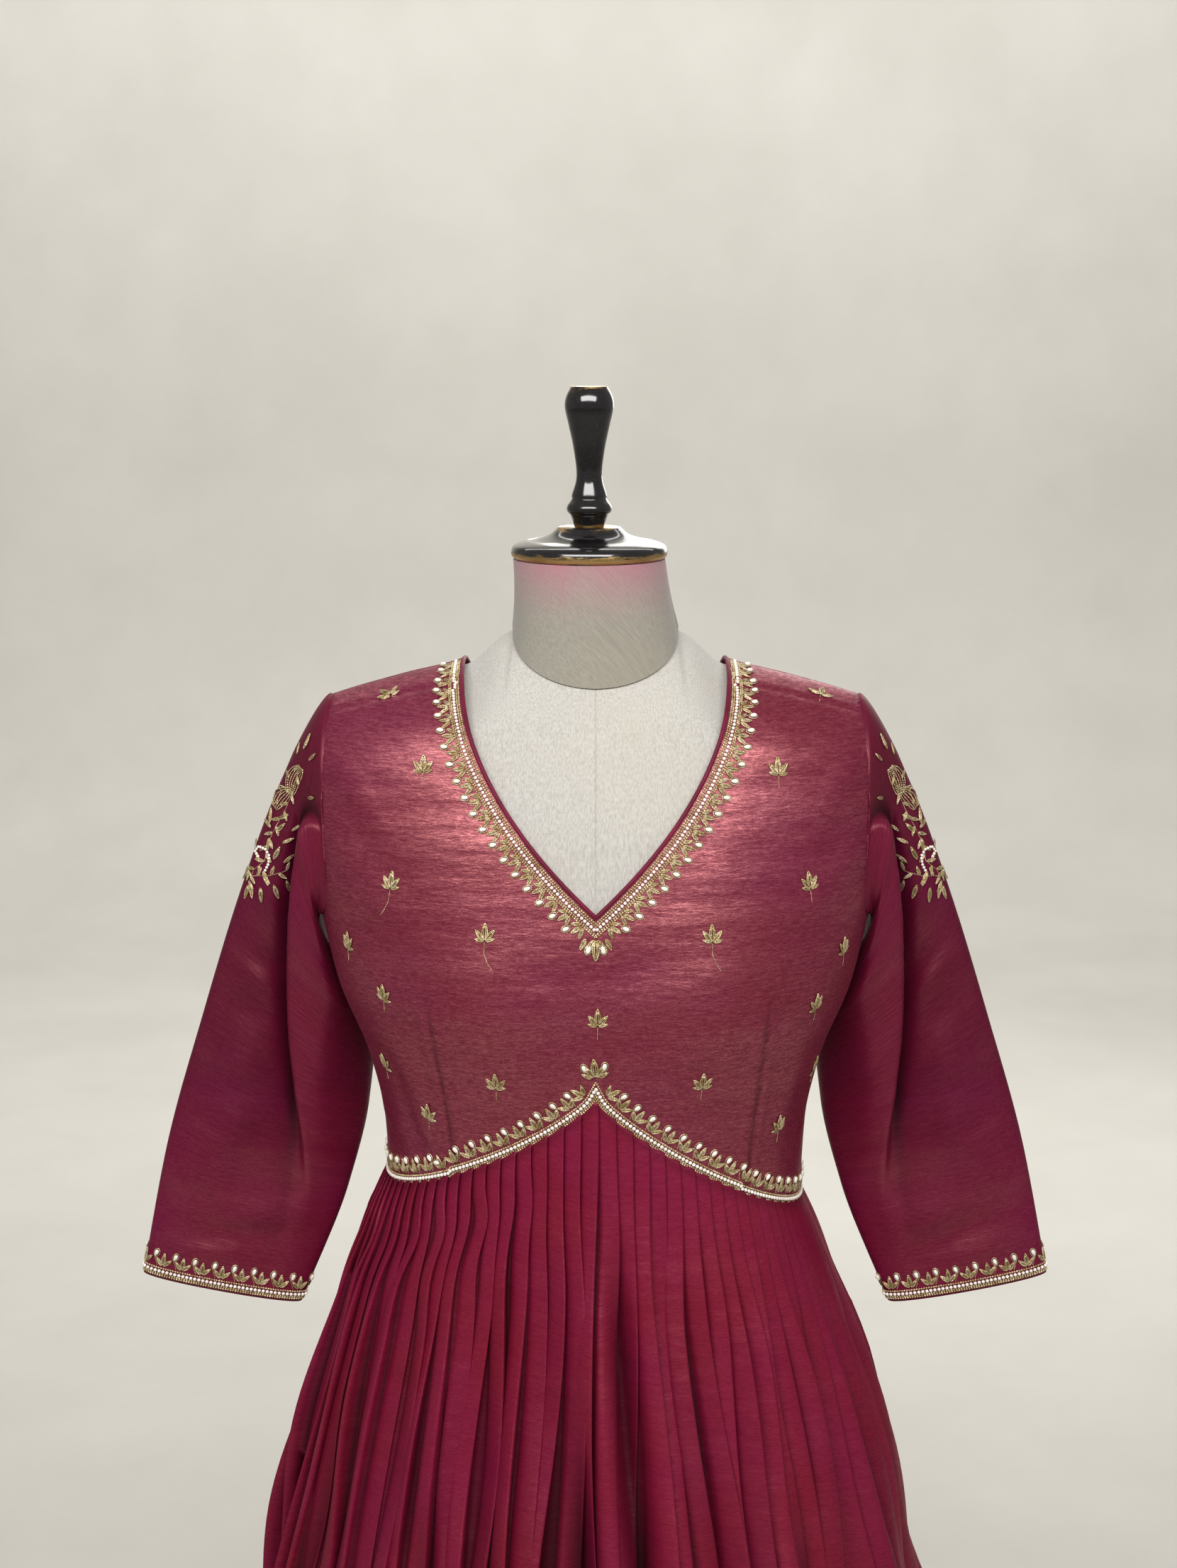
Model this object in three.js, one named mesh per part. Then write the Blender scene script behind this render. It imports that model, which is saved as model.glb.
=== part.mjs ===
// Anarkali gown on a limbless dress form with its stand. Millimetres, +Z up, the front faces -Y,
// and the gown's left is +X. The origin is on the floor, under the pole.
// Heights on the gown are given as a drop below the shoulder point, the highest point of the neck opening.
import * as THREE from 'three';

// ---------- driving sizes ----------
const SHOULDER_POINT_Z = 1410;
const HEM_DROP = 1368;
const CLOTH = 1.6;            // bodice and sleeve wall, two layers of tissue silk
const SKIRT_CLOTH = 2.2;      // measured straight out, so a steep pleat side is about half of it
const SEAM_GAP = 0.3;
const WAIST_GAP = 0.6;        // the waist seam slopes, so it is opened a little more

const NECK_HALF = 96.7;       // half width of the neck opening
const NECK_FRONT_DROP = 165;  // point of the V
const NECK_FRONT_POWER = 1.9; // how full the V's sides are
const NECK_BACK_DROP = 62;
const SHOULDER_TIP_X = 192;
const SHOULDER_ROUND = 55;    // height over which the cloth turns over the shoulder
const UNDERARM_DROP = 187;
const ARMHOLE_FULLNESS = 3;   // degrees that the armhole seam bows outwards
const SECTION_POWER = 2.3;    // 2 is an ellipse, more is squarer
const BUST = { out: 7, x: 84, drop: 238, wide: 48, high: 58 };

const WAIST_SIDE_DROP = 396;
const WAIST_PEAK_DROP = 296;  // the seam's arch under the bust
const WAIST_POWER = 0.76;
const WAIST_SKEW = 9;         // the seam hangs lower on the gown's left than on its right

const PLEATS = 21;            // knife pleats on each quarter of the skirt
const PLEAT_TOP = 2.2;        // pleat height at the waist seam
const PLEAT_HEM = 15;         // and at the hem
const HEM_WAVE = { height: 9, count: 5 };
const SKIRT_SWAY = 4;         // the skirt hangs this much towards the gown's left

const SLEEVE_FOLD_WIDTH = 0.13;   // how steeply the sleeve's front fold rises, as a share of its width

const BORDER = { neck: 21, waist: 19, cuff: 17, lift: 0.3, thick: 1.3 };
const PIPING = { width: 3.2, thick: 3.6 };

const FORM_ARM_X = 172;       // the form's flat arm plate
const FORM_BOTTOM_DROP = 640;
const FORM_SINK = { all: 2.5, neck: 3.6, at: 88, width: 13 };   // the form's shoulder line under the cloth's
const FORM_UNDERARM_DROP = 190;
const NECK_FOOT = { radius: 59.5, frontDrop: 3, sideDrop: -24, backDrop: -8 };
const NECK_TOP = { radius: 55, drop: -73, x: -4.5 };   // the neck leans a little
const POLE_RADIUS = 16;
const ROUND_SIDES = 28;

// ---------- tables ----------
// Sections of the worn bodice: half width, and depth to the front and the back of the side seam.
const BODICE = [
  { drop: -34, half: 212, front: 60, back: 66 },
  { drop: 0, half: 216, front: 70, back: 76 },
  { drop: 60, half: 218, front: 94, back: 94 },
  { drop: 120, half: 214, front: 114, back: 102 },
  { drop: 187, half: 202, front: 128, back: 102 },
  { drop: 235, half: 191, front: 132, back: 98 },
  { drop: 292, half: 169, front: 124, back: 92 },
  { drop: 345, half: 158, front: 116, back: 88 },
  { drop: 410, half: 155, front: 110, back: 86 },
];
// Sections of the dress form inside it.
const FORM = [
  { drop: -34, half: 194, front: 54, back: 58 },
  { drop: 0, half: 197, front: 64, back: 69 },
  { drop: 60, half: 199, front: 88, back: 87 },
  { drop: 120, half: 193, front: 109, back: 96 },
  { drop: 190, half: 172, front: 122, back: 96 },
  { drop: 235, half: 169, front: 126, back: 92 },
  { drop: 292, half: 156, front: 116, back: 86 },
  { drop: 345, half: 146, front: 105, back: 81 },
  { drop: 398, half: 143, front: 99, back: 79 },
  { drop: 470, half: 156, front: 104, back: 92 },
  { drop: 560, half: 178, front: 112, back: 112 },
  { drop: 640, half: 172, front: 106, back: 108 },
];
// The shoulder's ridge line, seen from the front.
const RIDGE = [
  { x: 0, drop: -32 },
  { x: 58, drop: -24 },
  { x: 97, drop: 0 },
  { x: 140, drop: 11 },
  { x: 192, drop: 26 },
  { x: 214, drop: 35 },
];
// How far the skirt stands out from its waist seam, by distance below that seam.
const FLARE = [
  { below: 0, side: 0, front: 0 },
  { below: 45, side: 19, front: 3 },
  { below: 94, side: 35, front: 10 },
  { below: 187, side: 61, front: 30 },
  { below: 306, side: 87, front: 60 },
  { below: 640, side: 158, front: 138 },
  { below: 1072, side: 240, front: 226 },
];
// The sleeve's outer edge and underarm edge, from the armhole to the cuff.
const SLEEVE_EDGES = [
  { along: 0, outerX: 192, outerY: 0, outerDrop: 26, innerX: 202, innerY: 0, innerDrop: 187, thick: 50 },
  { along: 0.06, outerX: 209, outerY: 0, outerDrop: 48, innerX: 206, innerY: 12, innerDrop: 200, thick: 50 },
  { along: 0.2, outerX: 234, outerY: 2, outerDrop: 96, innerX: 197, innerY: 30, innerDrop: 238, thick: 42 },
  { along: 0.4, outerX: 266, outerY: 3, outerDrop: 180, innerX: 178, innerY: 38, innerDrop: 292, thick: 32 },
  { along: 0.6, outerX: 295, outerY: 3, outerDrop: 270, innerX: 174, innerY: 34, innerDrop: 348, thick: 26 },
  { along: 0.8, outerX: 324, outerY: 2, outerDrop: 368, innerX: 190, innerY: 22, innerDrop: 412, thick: 22 },
  { along: 1, outerX: 346, outerY: 0, outerDrop: 473, innerX: 226, innerY: 8, innerDrop: 500, thick: 17 },
];
// The fold down the sleeve's front: where it starts, as a share of the width from the outer edge,
// and how far it stands out.
const SLEEVE_FOLD = [
  { along: 0, at: 0.2, out: 0 },
  { along: 0.1, at: 0.22, out: 8 },
  { along: 0.3, at: 0.29, out: 13 },
  { along: 0.5, at: 0.42, out: 13 },
  { along: 0.65, at: 0.55, out: 10 },
  { along: 0.8, at: 0.6, out: 3 },
  { along: 1, at: 0.6, out: 0 },
];

// Turned parts: radius by height above the part's own foot.
const CAP = [
  { radius: 54, up: 0 },
  { radius: 56.2, up: 2.5 },
  { radius: 56.4, up: 6 },
  { radius: 54.5, up: 9.5 },
  { radius: 48, up: 12 },
  { radius: 38, up: 14 },
  { radius: 29, up: 17 },
  { radius: 24, up: 21 },
  { radius: 22.5, up: 22.5 },
];
const FINIAL = [
  { radius: 10.7, up: 0 },
  { radius: 13.4, up: 8 },
  { radius: 15.9, up: 11 },
  { radius: 15.9, up: 15 },
  { radius: 12.6, up: 20 },
  { radius: 12.6, up: 23 },
  { radius: 9.2, up: 36 },
  { radius: 11.2, up: 55 },
  { radius: 14.8, up: 72 },
  { radius: 17.6, up: 85 },
  { radius: 16.6, up: 93 },
  { radius: 13, up: 100 },
];
const BASE = [
  { radius: 182, up: 0 },
  { radius: 186, up: 4 },
  { radius: 186, up: 15 },
  { radius: 176, up: 23 },
  { radius: 110, up: 28 },
  { radius: 34, up: 33 },
  { radius: 26, up: 40 },
  { radius: 26, up: 60 },
];

// ---------- small helpers ----------
const FLAT = 0.01;
const rad = (degrees) => (degrees * Math.PI) / 180;
const mix = (a, b, t) => a + (b - a) * t;
const clamp01 = (t) => Math.min(1, Math.max(0, t));
const smooth = (t) => clamp01(t) ** 2 * (3 - 2 * clamp01(t));
const bell = (t) => Math.exp(-t * t);
const chance = (n) => {
  const s = Math.sin(n * 12.9898 + 4.13) * 43758.5453;
  return s - Math.floor(s);
};
const at = (x, y, drop) => new THREE.Vector3(x, y, SHOULDER_POINT_Z - drop);

// A smooth curve through one column of a table, that never overshoots its rows.
function column(rows, along, value) {
  const x = rows.map((r) => r[along]);
  const y = rows.map((r) => r[value]);
  const last = x.length - 1;
  const rise = x.slice(1).map((xi, i) => (y[i + 1] - y[i]) / (xi - x[i]));
  const slope = x.map((_, i) => {
    if (i === 0) return rise[0];
    if (i === last) return rise[last - 1];
    if (rise[i - 1] * rise[i] <= 0) return 0;
    return (2 * rise[i - 1] * rise[i]) / (rise[i - 1] + rise[i]);
  });
  return (q) => {
    if (q <= x[0]) return y[0];
    if (q >= x[last]) return y[last];
    let i = 0;
    while (q > x[i + 1]) i += 1;
    const w = x[i + 1] - x[i];
    const t = (q - x[i]) / w;
    const a = 2 * t ** 3 - 3 * t ** 2 + 1;
    const b = t ** 3 - 2 * t ** 2 + t;
    const c = 3 * t ** 2 - 2 * t ** 3;
    const d = t ** 3 - t ** 2;
    return a * y[i] + b * w * slope[i] + c * y[i + 1] + d * w * slope[i + 1];
  };
}

const ridgeDrop = column(RIDGE, 'x', 'drop');
const columnsOf = (rows, along, names) =>
  Object.fromEntries(names.map((name) => [name, column(rows, along, name)]));
const bodiceAt = { ...columnsOf(BODICE, 'drop', ['half', 'front', 'back']), ridge: ridgeDrop };
const formAt = {
  ...columnsOf(FORM, 'drop', ['half', 'front', 'back']),
  ridge: (x) => ridgeDrop(x) + FORM_SINK.all + FORM_SINK.neck * bell((x - FORM_SINK.at) / FORM_SINK.width),
};
const flareAt = columnsOf(FLARE, 'below', ['side', 'front']);
const sleeveAt = columnsOf(SLEEVE_EDGES, 'along', [
  'outerX', 'outerY', 'outerDrop', 'innerX', 'innerY', 'innerDrop', 'thick',
]);
const foldAt = columnsOf(SLEEVE_FOLD, 'along', ['at', 'out']);

// ---------- solids from grids of points ----------
// A wall between an outer and an inner grid of points, open all round or closed into a tube along i.
// Each quad is cut along its shorter diagonal on the guide grid, the same way on both sides.
function wallGeometry(columns, rows, outer, inner, tube = false, guide = outer) {
  const points = [];
  const triangles = [];
  const wide = tube ? columns : columns + 1;
  const layer = wide * (rows + 1);
  for (const point of [outer, inner]) {
    for (let j = 0; j <= rows; j += 1) {
      for (let i = 0; i < wide; i += 1) points.push(...point(i, j).toArray());
    }
  }
  const id = (side, i, j) => side * layer + j * wide + (tube ? i % columns : i);
  const guideAt = (i, j) => guide(tube ? i % columns : i, j);
  const quad = (a, b, c, d) => triangles.push(a, b, c, a, c, d);
  for (let j = 0; j < rows; j += 1) {
    for (let i = 0; i < columns; i += 1) {
      const rising = guideAt(i, j).distanceTo(guideAt(i + 1, j + 1));
      const falling = guideAt(i + 1, j).distanceTo(guideAt(i, j + 1));
      const outside = [id(0, i, j), id(0, i + 1, j), id(0, i + 1, j + 1), id(0, i, j + 1)];
      const inside = [id(1, i, j), id(1, i, j + 1), id(1, i + 1, j + 1), id(1, i + 1, j)];
      if (falling < rising - FLAT) {
        outside.push(outside.shift());
        inside.push(inside.shift());
      }
      quad(...outside);
      quad(...inside);
    }
  }
  for (let i = 0; i < columns; i += 1) {
    quad(id(1, i, 0), id(1, i + 1, 0), id(0, i + 1, 0), id(0, i, 0));
    quad(id(0, i, rows), id(0, i + 1, rows), id(1, i + 1, rows), id(1, i, rows));
  }
  if (!tube) {
    for (let j = 0; j < rows; j += 1) {
      quad(id(1, 0, j + 1), id(1, 0, j), id(0, 0, j), id(0, 0, j + 1));
      quad(id(0, columns, j + 1), id(0, columns, j), id(1, columns, j), id(1, columns, j + 1));
    }
  }
  return facingOut(points, triangles);
}

// A closed body from its points and triangles, turned round if its faces point inwards.
function facingOut(points, triangles) {
  let volume = 0;
  const p = (k) => new THREE.Vector3().fromArray(points, 3 * k);
  for (let k = 0; k < triangles.length; k += 3) {
    const [a, b, c] = [p(triangles[k]), p(triangles[k + 1]), p(triangles[k + 2])];
    volume += a.dot(b.cross(c));
  }
  const order = volume > 0 ? triangles : triangles.slice().reverse();
  return new THREE.BufferGeometry()
    .setAttribute('position', new THREE.Float32BufferAttribute(points, 3))
    .setIndex(order);
}

// Outward normals of a tube's grid of points, from each point's neighbours.
function tubeNormals(columns, rows, grid) {
  return grid.map((line, j) => line.map((p, i) => {
    const across = line[(i + 1) % columns].clone().sub(line[(i + columns - 1) % columns]);
    const up = grid[Math.min(rows, j + 1)][i].clone().sub(grid[Math.max(0, j - 1)][i]);
    return up.cross(across).normalize();
  }));
}

// A ruled closed body: front and back grids that share their sides, with strips where they part.
function lensGeometry(columns, rows, front, back) {
  const points = [];
  const triangles = [];
  const size = (columns + 1) * (rows + 1);
  for (const grid of [front, back]) {
    for (let j = 0; j <= rows; j += 1) {
      for (let i = 0; i <= columns; i += 1) points.push(...grid(i, j).toArray());
    }
  }
  const id = (side, i, j) => side * size + j * (columns + 1) + i;
  const shared = new Map();
  const key = (k) => points.slice(3 * k, 3 * k + 3).map((c) => Math.round(c * 1000)).join();
  const one = (k) => {
    if (!shared.has(key(k))) shared.set(key(k), k);
    return shared.get(key(k));
  };
  const triangle = (...abc) => {
    const [a, b, c] = abc.map(one);
    if (a !== b && b !== c && c !== a) triangles.push(a, b, c);
  };
  const quad = (a, b, c, d) => {
    triangle(a, b, c);
    triangle(a, c, d);
  };
  for (let i = 0; i < columns; i += 1) {
    for (let j = 0; j < rows; j += 1) {
      quad(id(0, i, j), id(0, i + 1, j), id(0, i + 1, j + 1), id(0, i, j + 1));
      quad(id(1, i, j + 1), id(1, i + 1, j + 1), id(1, i + 1, j), id(1, i, j));
    }
    quad(id(0, i, 0), id(1, i, 0), id(1, i + 1, 0), id(0, i + 1, 0));
    quad(id(0, i, rows), id(0, i + 1, rows), id(1, i + 1, rows), id(1, i, rows));
  }
  return facingOut(points, triangles);
}

// ---------- the torso's surface ----------
const FRONT = -1;
const BACK = 1;

// A point of the bodice at an angle from the middle, a drop, and a side, front or back.
function torsoPoint(phi, drop, side, sections) {
  const x = sections.half(drop) * Math.sin(phi);
  const squareness = (1 - Math.abs(Math.sin(phi)) ** SECTION_POWER) ** (1 / SECTION_POWER);
  const under = clamp01((drop - sections.ridge(Math.abs(x))) / SHOULDER_ROUND);
  const over = Math.sqrt(1 - (1 - under) ** 2);
  const depth = side === FRONT ? sections.front(drop) : sections.back(drop);
  const bust = side === FRONT
    ? BUST.out * bell((Math.abs(x) - BUST.x) / BUST.wide) * bell((drop - BUST.drop) / BUST.high)
    : 0;
  return at(x, side * squareness * (depth * over + bust), drop);
}

// The torso's outward normal. On the side and shoulder seams it stays in the seam's plane, so that
// front and back walls keep apart.
function torsoNormal(phi, drop, side, sections) {
  const step = 0.002;
  const down = 0.25;
  const x = sections.half(drop) * Math.sin(phi);
  const from = Math.max(drop, sections.ridge(Math.abs(x)) + down);
  const here = (a, b) => torsoPoint(phi + a * step, from + b * down, side, sections);
  const across = here(1, 0).sub(here(-1, 0));
  const up = here(0, -1).sub(here(0, 1));
  const normal = across.cross(up).multiplyScalar(-side).normalize();
  if (Math.abs(torsoPoint(phi, drop, side, sections).y) < SEAM_GAP) normal.setY(0).normalize();
  return normal;
}

const angleAt = (x, drop, sections) => Math.asin(Math.min(1, Math.abs(x) / sections.half(drop)));

// The seam between bodice and skirt, as a drop at an angle.
function waistDrop(phi, side) {
  if (side === BACK) return WAIST_SIDE_DROP + WAIST_SKEW * Math.sin(phi);
  const rise = WAIST_SIDE_DROP - WAIST_PEAK_DROP;
  return WAIST_PEAK_DROP + rise * Math.abs(Math.sin(phi)) ** WAIST_POWER + WAIST_SKEW * Math.sin(phi);
}

// The top edge of a bodice panel: neckline, shoulder and armhole, by u from the middle (0) to the side (1).
const NECK_SHARE = 10 / 21;
const SHOULDER_SHARE = 15 / 21;
const tipAngle = angleAt(SHOULDER_TIP_X, ridgeDrop(SHOULDER_TIP_X), bodiceAt);

function armholeAt(s) {
  const tipDrop = ridgeDrop(SHOULDER_TIP_X);
  const drop = tipDrop + (UNDERARM_DROP - tipDrop) * Math.sin((s * Math.PI) / 2);
  const bow = rad(ARMHOLE_FULLNESS) * Math.sin(s * Math.PI);
  return { phi: tipAngle + bow + (rad(90) - tipAngle - bow) * s ** 4, drop };
}

function necklineAt(t, side) {
  const drop = (side === FRONT ? NECK_FRONT_DROP : NECK_BACK_DROP) * t;
  const half = side === FRONT
    ? NECK_HALF * (1 - t ** NECK_FRONT_POWER)
    : NECK_HALF * Math.sqrt(1 - t * t);
  return { phi: angleAt(half, drop, bodiceAt), drop };
}

function topEdge(u, side) {
  if (u <= NECK_SHARE) return necklineAt(1 - u / NECK_SHARE, side);
  if (u <= SHOULDER_SHARE) {
    const x = mix(NECK_HALF, SHOULDER_TIP_X, (u - NECK_SHARE) / (SHOULDER_SHARE - NECK_SHARE));
    return { phi: angleAt(x, ridgeDrop(x), bodiceAt), drop: ridgeDrop(x) };
  }
  return armholeAt((u - SHOULDER_SHARE) / (1 - SHOULDER_SHARE));
}

const apart = (p, side) => p.setY(side * Math.max(side * p.y, SEAM_GAP / 2));

// ---------- bodice ----------
const BODICE_RISE = [0, 0.28, 0.52, 0.72, 0.88, 1];
const COLUMN_LEAN = 2;
const BODICE_ROWS = BODICE_RISE.length + 2;
const BODICE_COLUMNS = 2 * PLEATS;

function bodicePlace(across, v, side) {
  const u = Math.abs(across);
  const top = topEdge(u, side);
  const foot = Math.sign(across) * u * rad(90);
  return {
    phi: mix(foot, Math.sign(across) * top.phi, v ** COLUMN_LEAN),
    drop: mix(waistDrop(foot, side), top.drop, v),
  };
}

function bodicePoint(across, v, side, lift = 0) {
  const { phi, drop } = bodicePlace(across, v, side);
  const p = torsoPoint(phi, drop, side, bodiceAt);
  if (lift) p.addScaledVector(torsoNormal(phi, drop, side, bodiceAt), lift);
  return apart(p, side);
}

// The share of a panel's height, at one column, that a border of the given width takes from its end.
function borderShare(across, side, end, width) {
  const steps = 60;
  const step = 0.004;
  const most = 0.4;
  const edge = Array.from({ length: steps + 1 }, (_, k) => bodicePoint((2 * k) / steps - 1, end, side));
  for (let share = step; share < most; share += step) {
    const p = bodicePoint(across, Math.abs(end - share), side);
    if (Math.min(...edge.map((q) => q.distanceTo(p))) >= width) return share;
  }
  return most;
}

const acrossAt = (i) => (2 * i) / BODICE_COLUMNS - 1;

function bodiceRises(side) {
  return Array.from({ length: BODICE_COLUMNS + 1 }, (_, i) => {
    const low = borderShare(acrossAt(i), side, 0, BORDER.waist);
    const high = 1 - borderShare(acrossAt(i), side, 1, BORDER.neck);
    return [0, ...BODICE_RISE.map((t) => mix(low, high, t)), (high + 1) / 2, 1];
  });
}

const rises = { [FRONT]: bodiceRises(FRONT), [BACK]: bodiceRises(BACK) };
const layerOf = (side) => (lift) => (i, j) => bodicePoint(acrossAt(i), rises[side][i][j], side, lift);

function bodicePanel(side) {
  const layer = layerOf(side);
  return wallGeometry(BODICE_COLUMNS, BODICE_ROWS, layer(0), layer(-CLOTH));
}

// A raised border on a bodice panel, over a run of its columns and rows.
function bodiceBorder(side, from, to, row, rows) {
  const layer = layerOf(side);
  const part = (lift) => (i, j) => layer(lift)(from + i, row + j);
  return wallGeometry(to - from, rows, part(BORDER.lift + BORDER.thick), part(BORDER.lift), false, part(0));
}

// The piping stands on the neck edge, as one ring with a four-sided section.
function neckPiping() {
  const middle = BODICE_COLUMNS / 2;
  const reach = Math.round(NECK_SHARE * middle);
  const ring = [];
  for (let i = -reach; i < reach; i += 1) ring.push([FRONT, middle + i]);
  for (let i = reach; i > -reach; i -= 1) ring.push([BACK, middle + i]);
  const edge = ring.map(([side, i]) => {
    const p = layerOf(side)(-CLOTH / 2)(i, BODICE_ROWS);
    const down = layerOf(side)(-CLOTH / 2)(i, BODICE_ROWS - 1);
    const seam = i === middle + reach || i === middle - reach;
    const up = p.clone().sub(down).normalize();
    const out = layerOf(side)(CLOTH)(i, BODICE_ROWS).sub(p).normalize();
    if (seam) {
      p.setY(0);
      up.setY(0);
      out.setY(0);
    }
    return { p, up, out };
  });
  const inwards = edge.map(({ p, up, out }, k) => {
    const along = edge[(k + 1) % edge.length].p.clone().sub(edge[(k + edge.length - 1) % edge.length].p);
    const side = along.clone().cross(out).normalize();
    return side.dot(up) < 0 ? side.negate() : side;
  });
  const corner = (k, rise, lift) => edge[k].p.clone()
    .addScaledVector(inwards[k], rise).addScaledVector(edge[k].out, lift);
  const low = SEAM_GAP;
  const high = SEAM_GAP + PIPING.width;
  const half = PIPING.thick / 2;
  return wallGeometry(edge.length, 1,
    (k, j) => corner(k % edge.length, j ? high : low, half),
    (k, j) => corner(k % edge.length, j ? high : low, -CLOTH / 2), true);
}

// ---------- skirt ----------
const SKIRT_FALL = [0, 0.06, 0.22, 0.5, 1];
const PLEAT_AT_TOP = { along: [0, 0.42, 0.84], height: [0, 0.55, 1] };
const PLEAT_AT_HEM = { along: [0, 0.34, 0.66], height: [0, 1, 0.8] };
const POINTS_A_PLEAT = 3;

// The cloth without its pleats: straight below the seam, then flaring out.
function skirtBase(phi, seamDrop, fall, side) {
  const seam = torsoPoint(phi, seamDrop, side, bodiceAt);
  const drop = mix(seamDrop + WAIST_GAP, HEM_DROP, fall);
  const below = drop - seamDrop;
  const ahead = side === FRONT ? Math.cos(phi) ** 2 : 0;
  const out = mix(flareAt.side(below), flareAt.front(below), ahead);
  const wave = HEM_WAVE.height * fall * Math.sin(2 * HEM_WAVE.count * phi + side);
  const reach = out + wave * Math.cos(phi) ** 2;
  const sway = SKIRT_SWAY * smooth(2 * fall);
  return at(seam.x + reach * Math.sin(phi) + sway, seam.y + side * reach * Math.cos(phi), drop);
}

function skirtPanel(side) {
  const columns = 2 * PLEATS * POINTS_A_PLEAT;
  const rows = SKIRT_FALL.length - 1;
  const turnWay = -side;        // the pleats face the same way all round the body
  const seamAt = (pleat) => waistDrop(turnWay * rad(90) * (Math.min(pleat, 2 * PLEATS) / PLEATS - 1), side);
  const outer = (i, j) => {
    const fall = SKIRT_FALL[j];
    const step = side === FRONT ? i : columns - i;
    const pleat = Math.floor(step / POINTS_A_PLEAT);
    const k = step % POINTS_A_PLEAT;
    const soft = smooth(fall * 1.4);
    const share = pleat + mix(PLEAT_AT_TOP.along[k], PLEAT_AT_HEM.along[k], soft);
    const own = chance(pleat + 47 * side);
    const drift = k === 0 ? 0 : 0.3 * (own - 0.5) * soft;
    const phi = turnWay * rad(90) * (Math.min(2 * PLEATS, share + drift) / PLEATS - 1);
    const seamDrop = mix(seamAt(pleat), seamAt(pleat + 1), share - pleat);
    const tall = mix(PLEAT_TOP, PLEAT_HEM * (0.75 + 0.5 * own), smooth(fall));
    const height = tall * mix(PLEAT_AT_TOP.height[k], PLEAT_AT_HEM.height[k], soft);
    const base = skirtBase(phi, seamDrop, fall, side);
    base.x += height * Math.sin(phi);
    base.y += side * height * Math.cos(phi);
    return apart(base, side);
  };
  const inner = (i, j) => {
    const p = outer(i, j);
    const phi = Math.atan2(p.x, side * p.y);
    p.x -= SKIRT_CLOTH * Math.sin(phi);
    p.y -= side * SKIRT_CLOTH * Math.cos(phi);
    return apart(p, side);
  };
  return wallGeometry(columns, rows, outer, inner);
}

// ---------- sleeves ----------
const SLEEVE_COLUMNS = 24;
const SLEEVE_RISE = [0, 0.05, 0.12, 0.2, 0.32, 0.46, 0.62, 0.8, 0.965, 1];

// The armhole's seam as a loop: 0 at the shoulder tip, a quarter at the front, half at the underarm.
const UNDERARM_CLEAR = 4;
const ARMHOLE_STEPS = PLEATS - Math.round(SHOULDER_SHARE * PLEATS);

function armholeLoop(turn) {
  const side = turn <= 0.5 ? FRONT : BACK;
  const s = (turn <= 0.5 ? 2 * turn : 2 - 2 * turn) * ARMHOLE_STEPS;
  const k = Math.min(Math.floor(s), ARMHOLE_STEPS - 1);
  const corner = (n) => {
    const { phi, drop } = armholeAt(n / ARMHOLE_STEPS);
    return torsoPoint(phi, drop, side, bodiceAt);
  };
  return corner(k).lerp(corner(k + 1), s - k);
}

// A point of the hanging, empty sleeve, for the gown's left, +X.
function sleevePoint(turn, along) {
  const a = 2 * Math.PI * turn;
  const outer = at(sleeveAt.outerX(along), sleeveAt.outerY(along), sleeveAt.outerDrop(along));
  const inner = at(sleeveAt.innerX(along), sleeveAt.innerY(along), sleeveAt.innerDrop(along));
  const middle = outer.clone().lerp(inner, 0.5);
  const hang = middle.clone().addScaledVector(outer.clone().sub(middle), Math.cos(a));
  const across = (1 - Math.cos(a)) / 2;
  const front = Math.sin(a) >= 0;
  const fold = front
    ? foldAt.out(along) * smooth((across - foldAt.at(along)) / SLEEVE_FOLD_WIDTH) * smooth(3 * (1 - across))
    : 0;
  hang.y -= sleeveAt.thick(along) * Math.sin(a) * Math.abs(Math.sin(a)) ** -0.3 * 0.8 + fold || 0;
  const clear = SEAM_GAP + UNDERARM_CLEAR * smooth(along * 16) * across ** 2;
  const seam = armholeLoop(turn).add(new THREE.Vector3(clear, 0, 0));
  return seam.lerp(hang, smooth(along / 0.2));
}

const armholeMiddle = at(0, 0, (ridgeDrop(SHOULDER_TIP_X) + UNDERARM_DROP) / 2);

function sleeveGrids(along, columns) {
  const grid = along.map((v) => Array.from({ length: columns }, (_, i) => sleevePoint(i / columns, v)));
  const normals = tubeNormals(columns, along.length - 1, grid);
  if (along[0] === 0) {
    normals[0] = grid[0].map((p) => p.clone().sub(armholeMiddle).setX(0).normalize());
  }
  return { grid, normals };
}

function mirrored(point, sign) {
  return new THREE.Vector3(sign * point.x, point.y, point.z);
}

const sleeve = sleeveGrids(SLEEVE_RISE, SLEEVE_COLUMNS);
const sleeveLayer = (sign, lift, from = 0) => (i, j) => mirrored(
  sleeve.grid[from + j][i].clone().addScaledVector(sleeve.normals[from + j][i], lift), sign);

function sleeveTube(sign) {
  const rows = SLEEVE_RISE.length - 1;
  return wallGeometry(SLEEVE_COLUMNS, rows, sleeveLayer(sign, 0), sleeveLayer(sign, -CLOTH), true);
}

function cuffBorder(sign) {
  const from = SLEEVE_RISE.length - 2;
  const layer = (lift) => sleeveLayer(sign, lift, from);
  return wallGeometry(SLEEVE_COLUMNS, 1, layer(BORDER.lift + BORDER.thick), layer(BORDER.lift), true);
}

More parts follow.
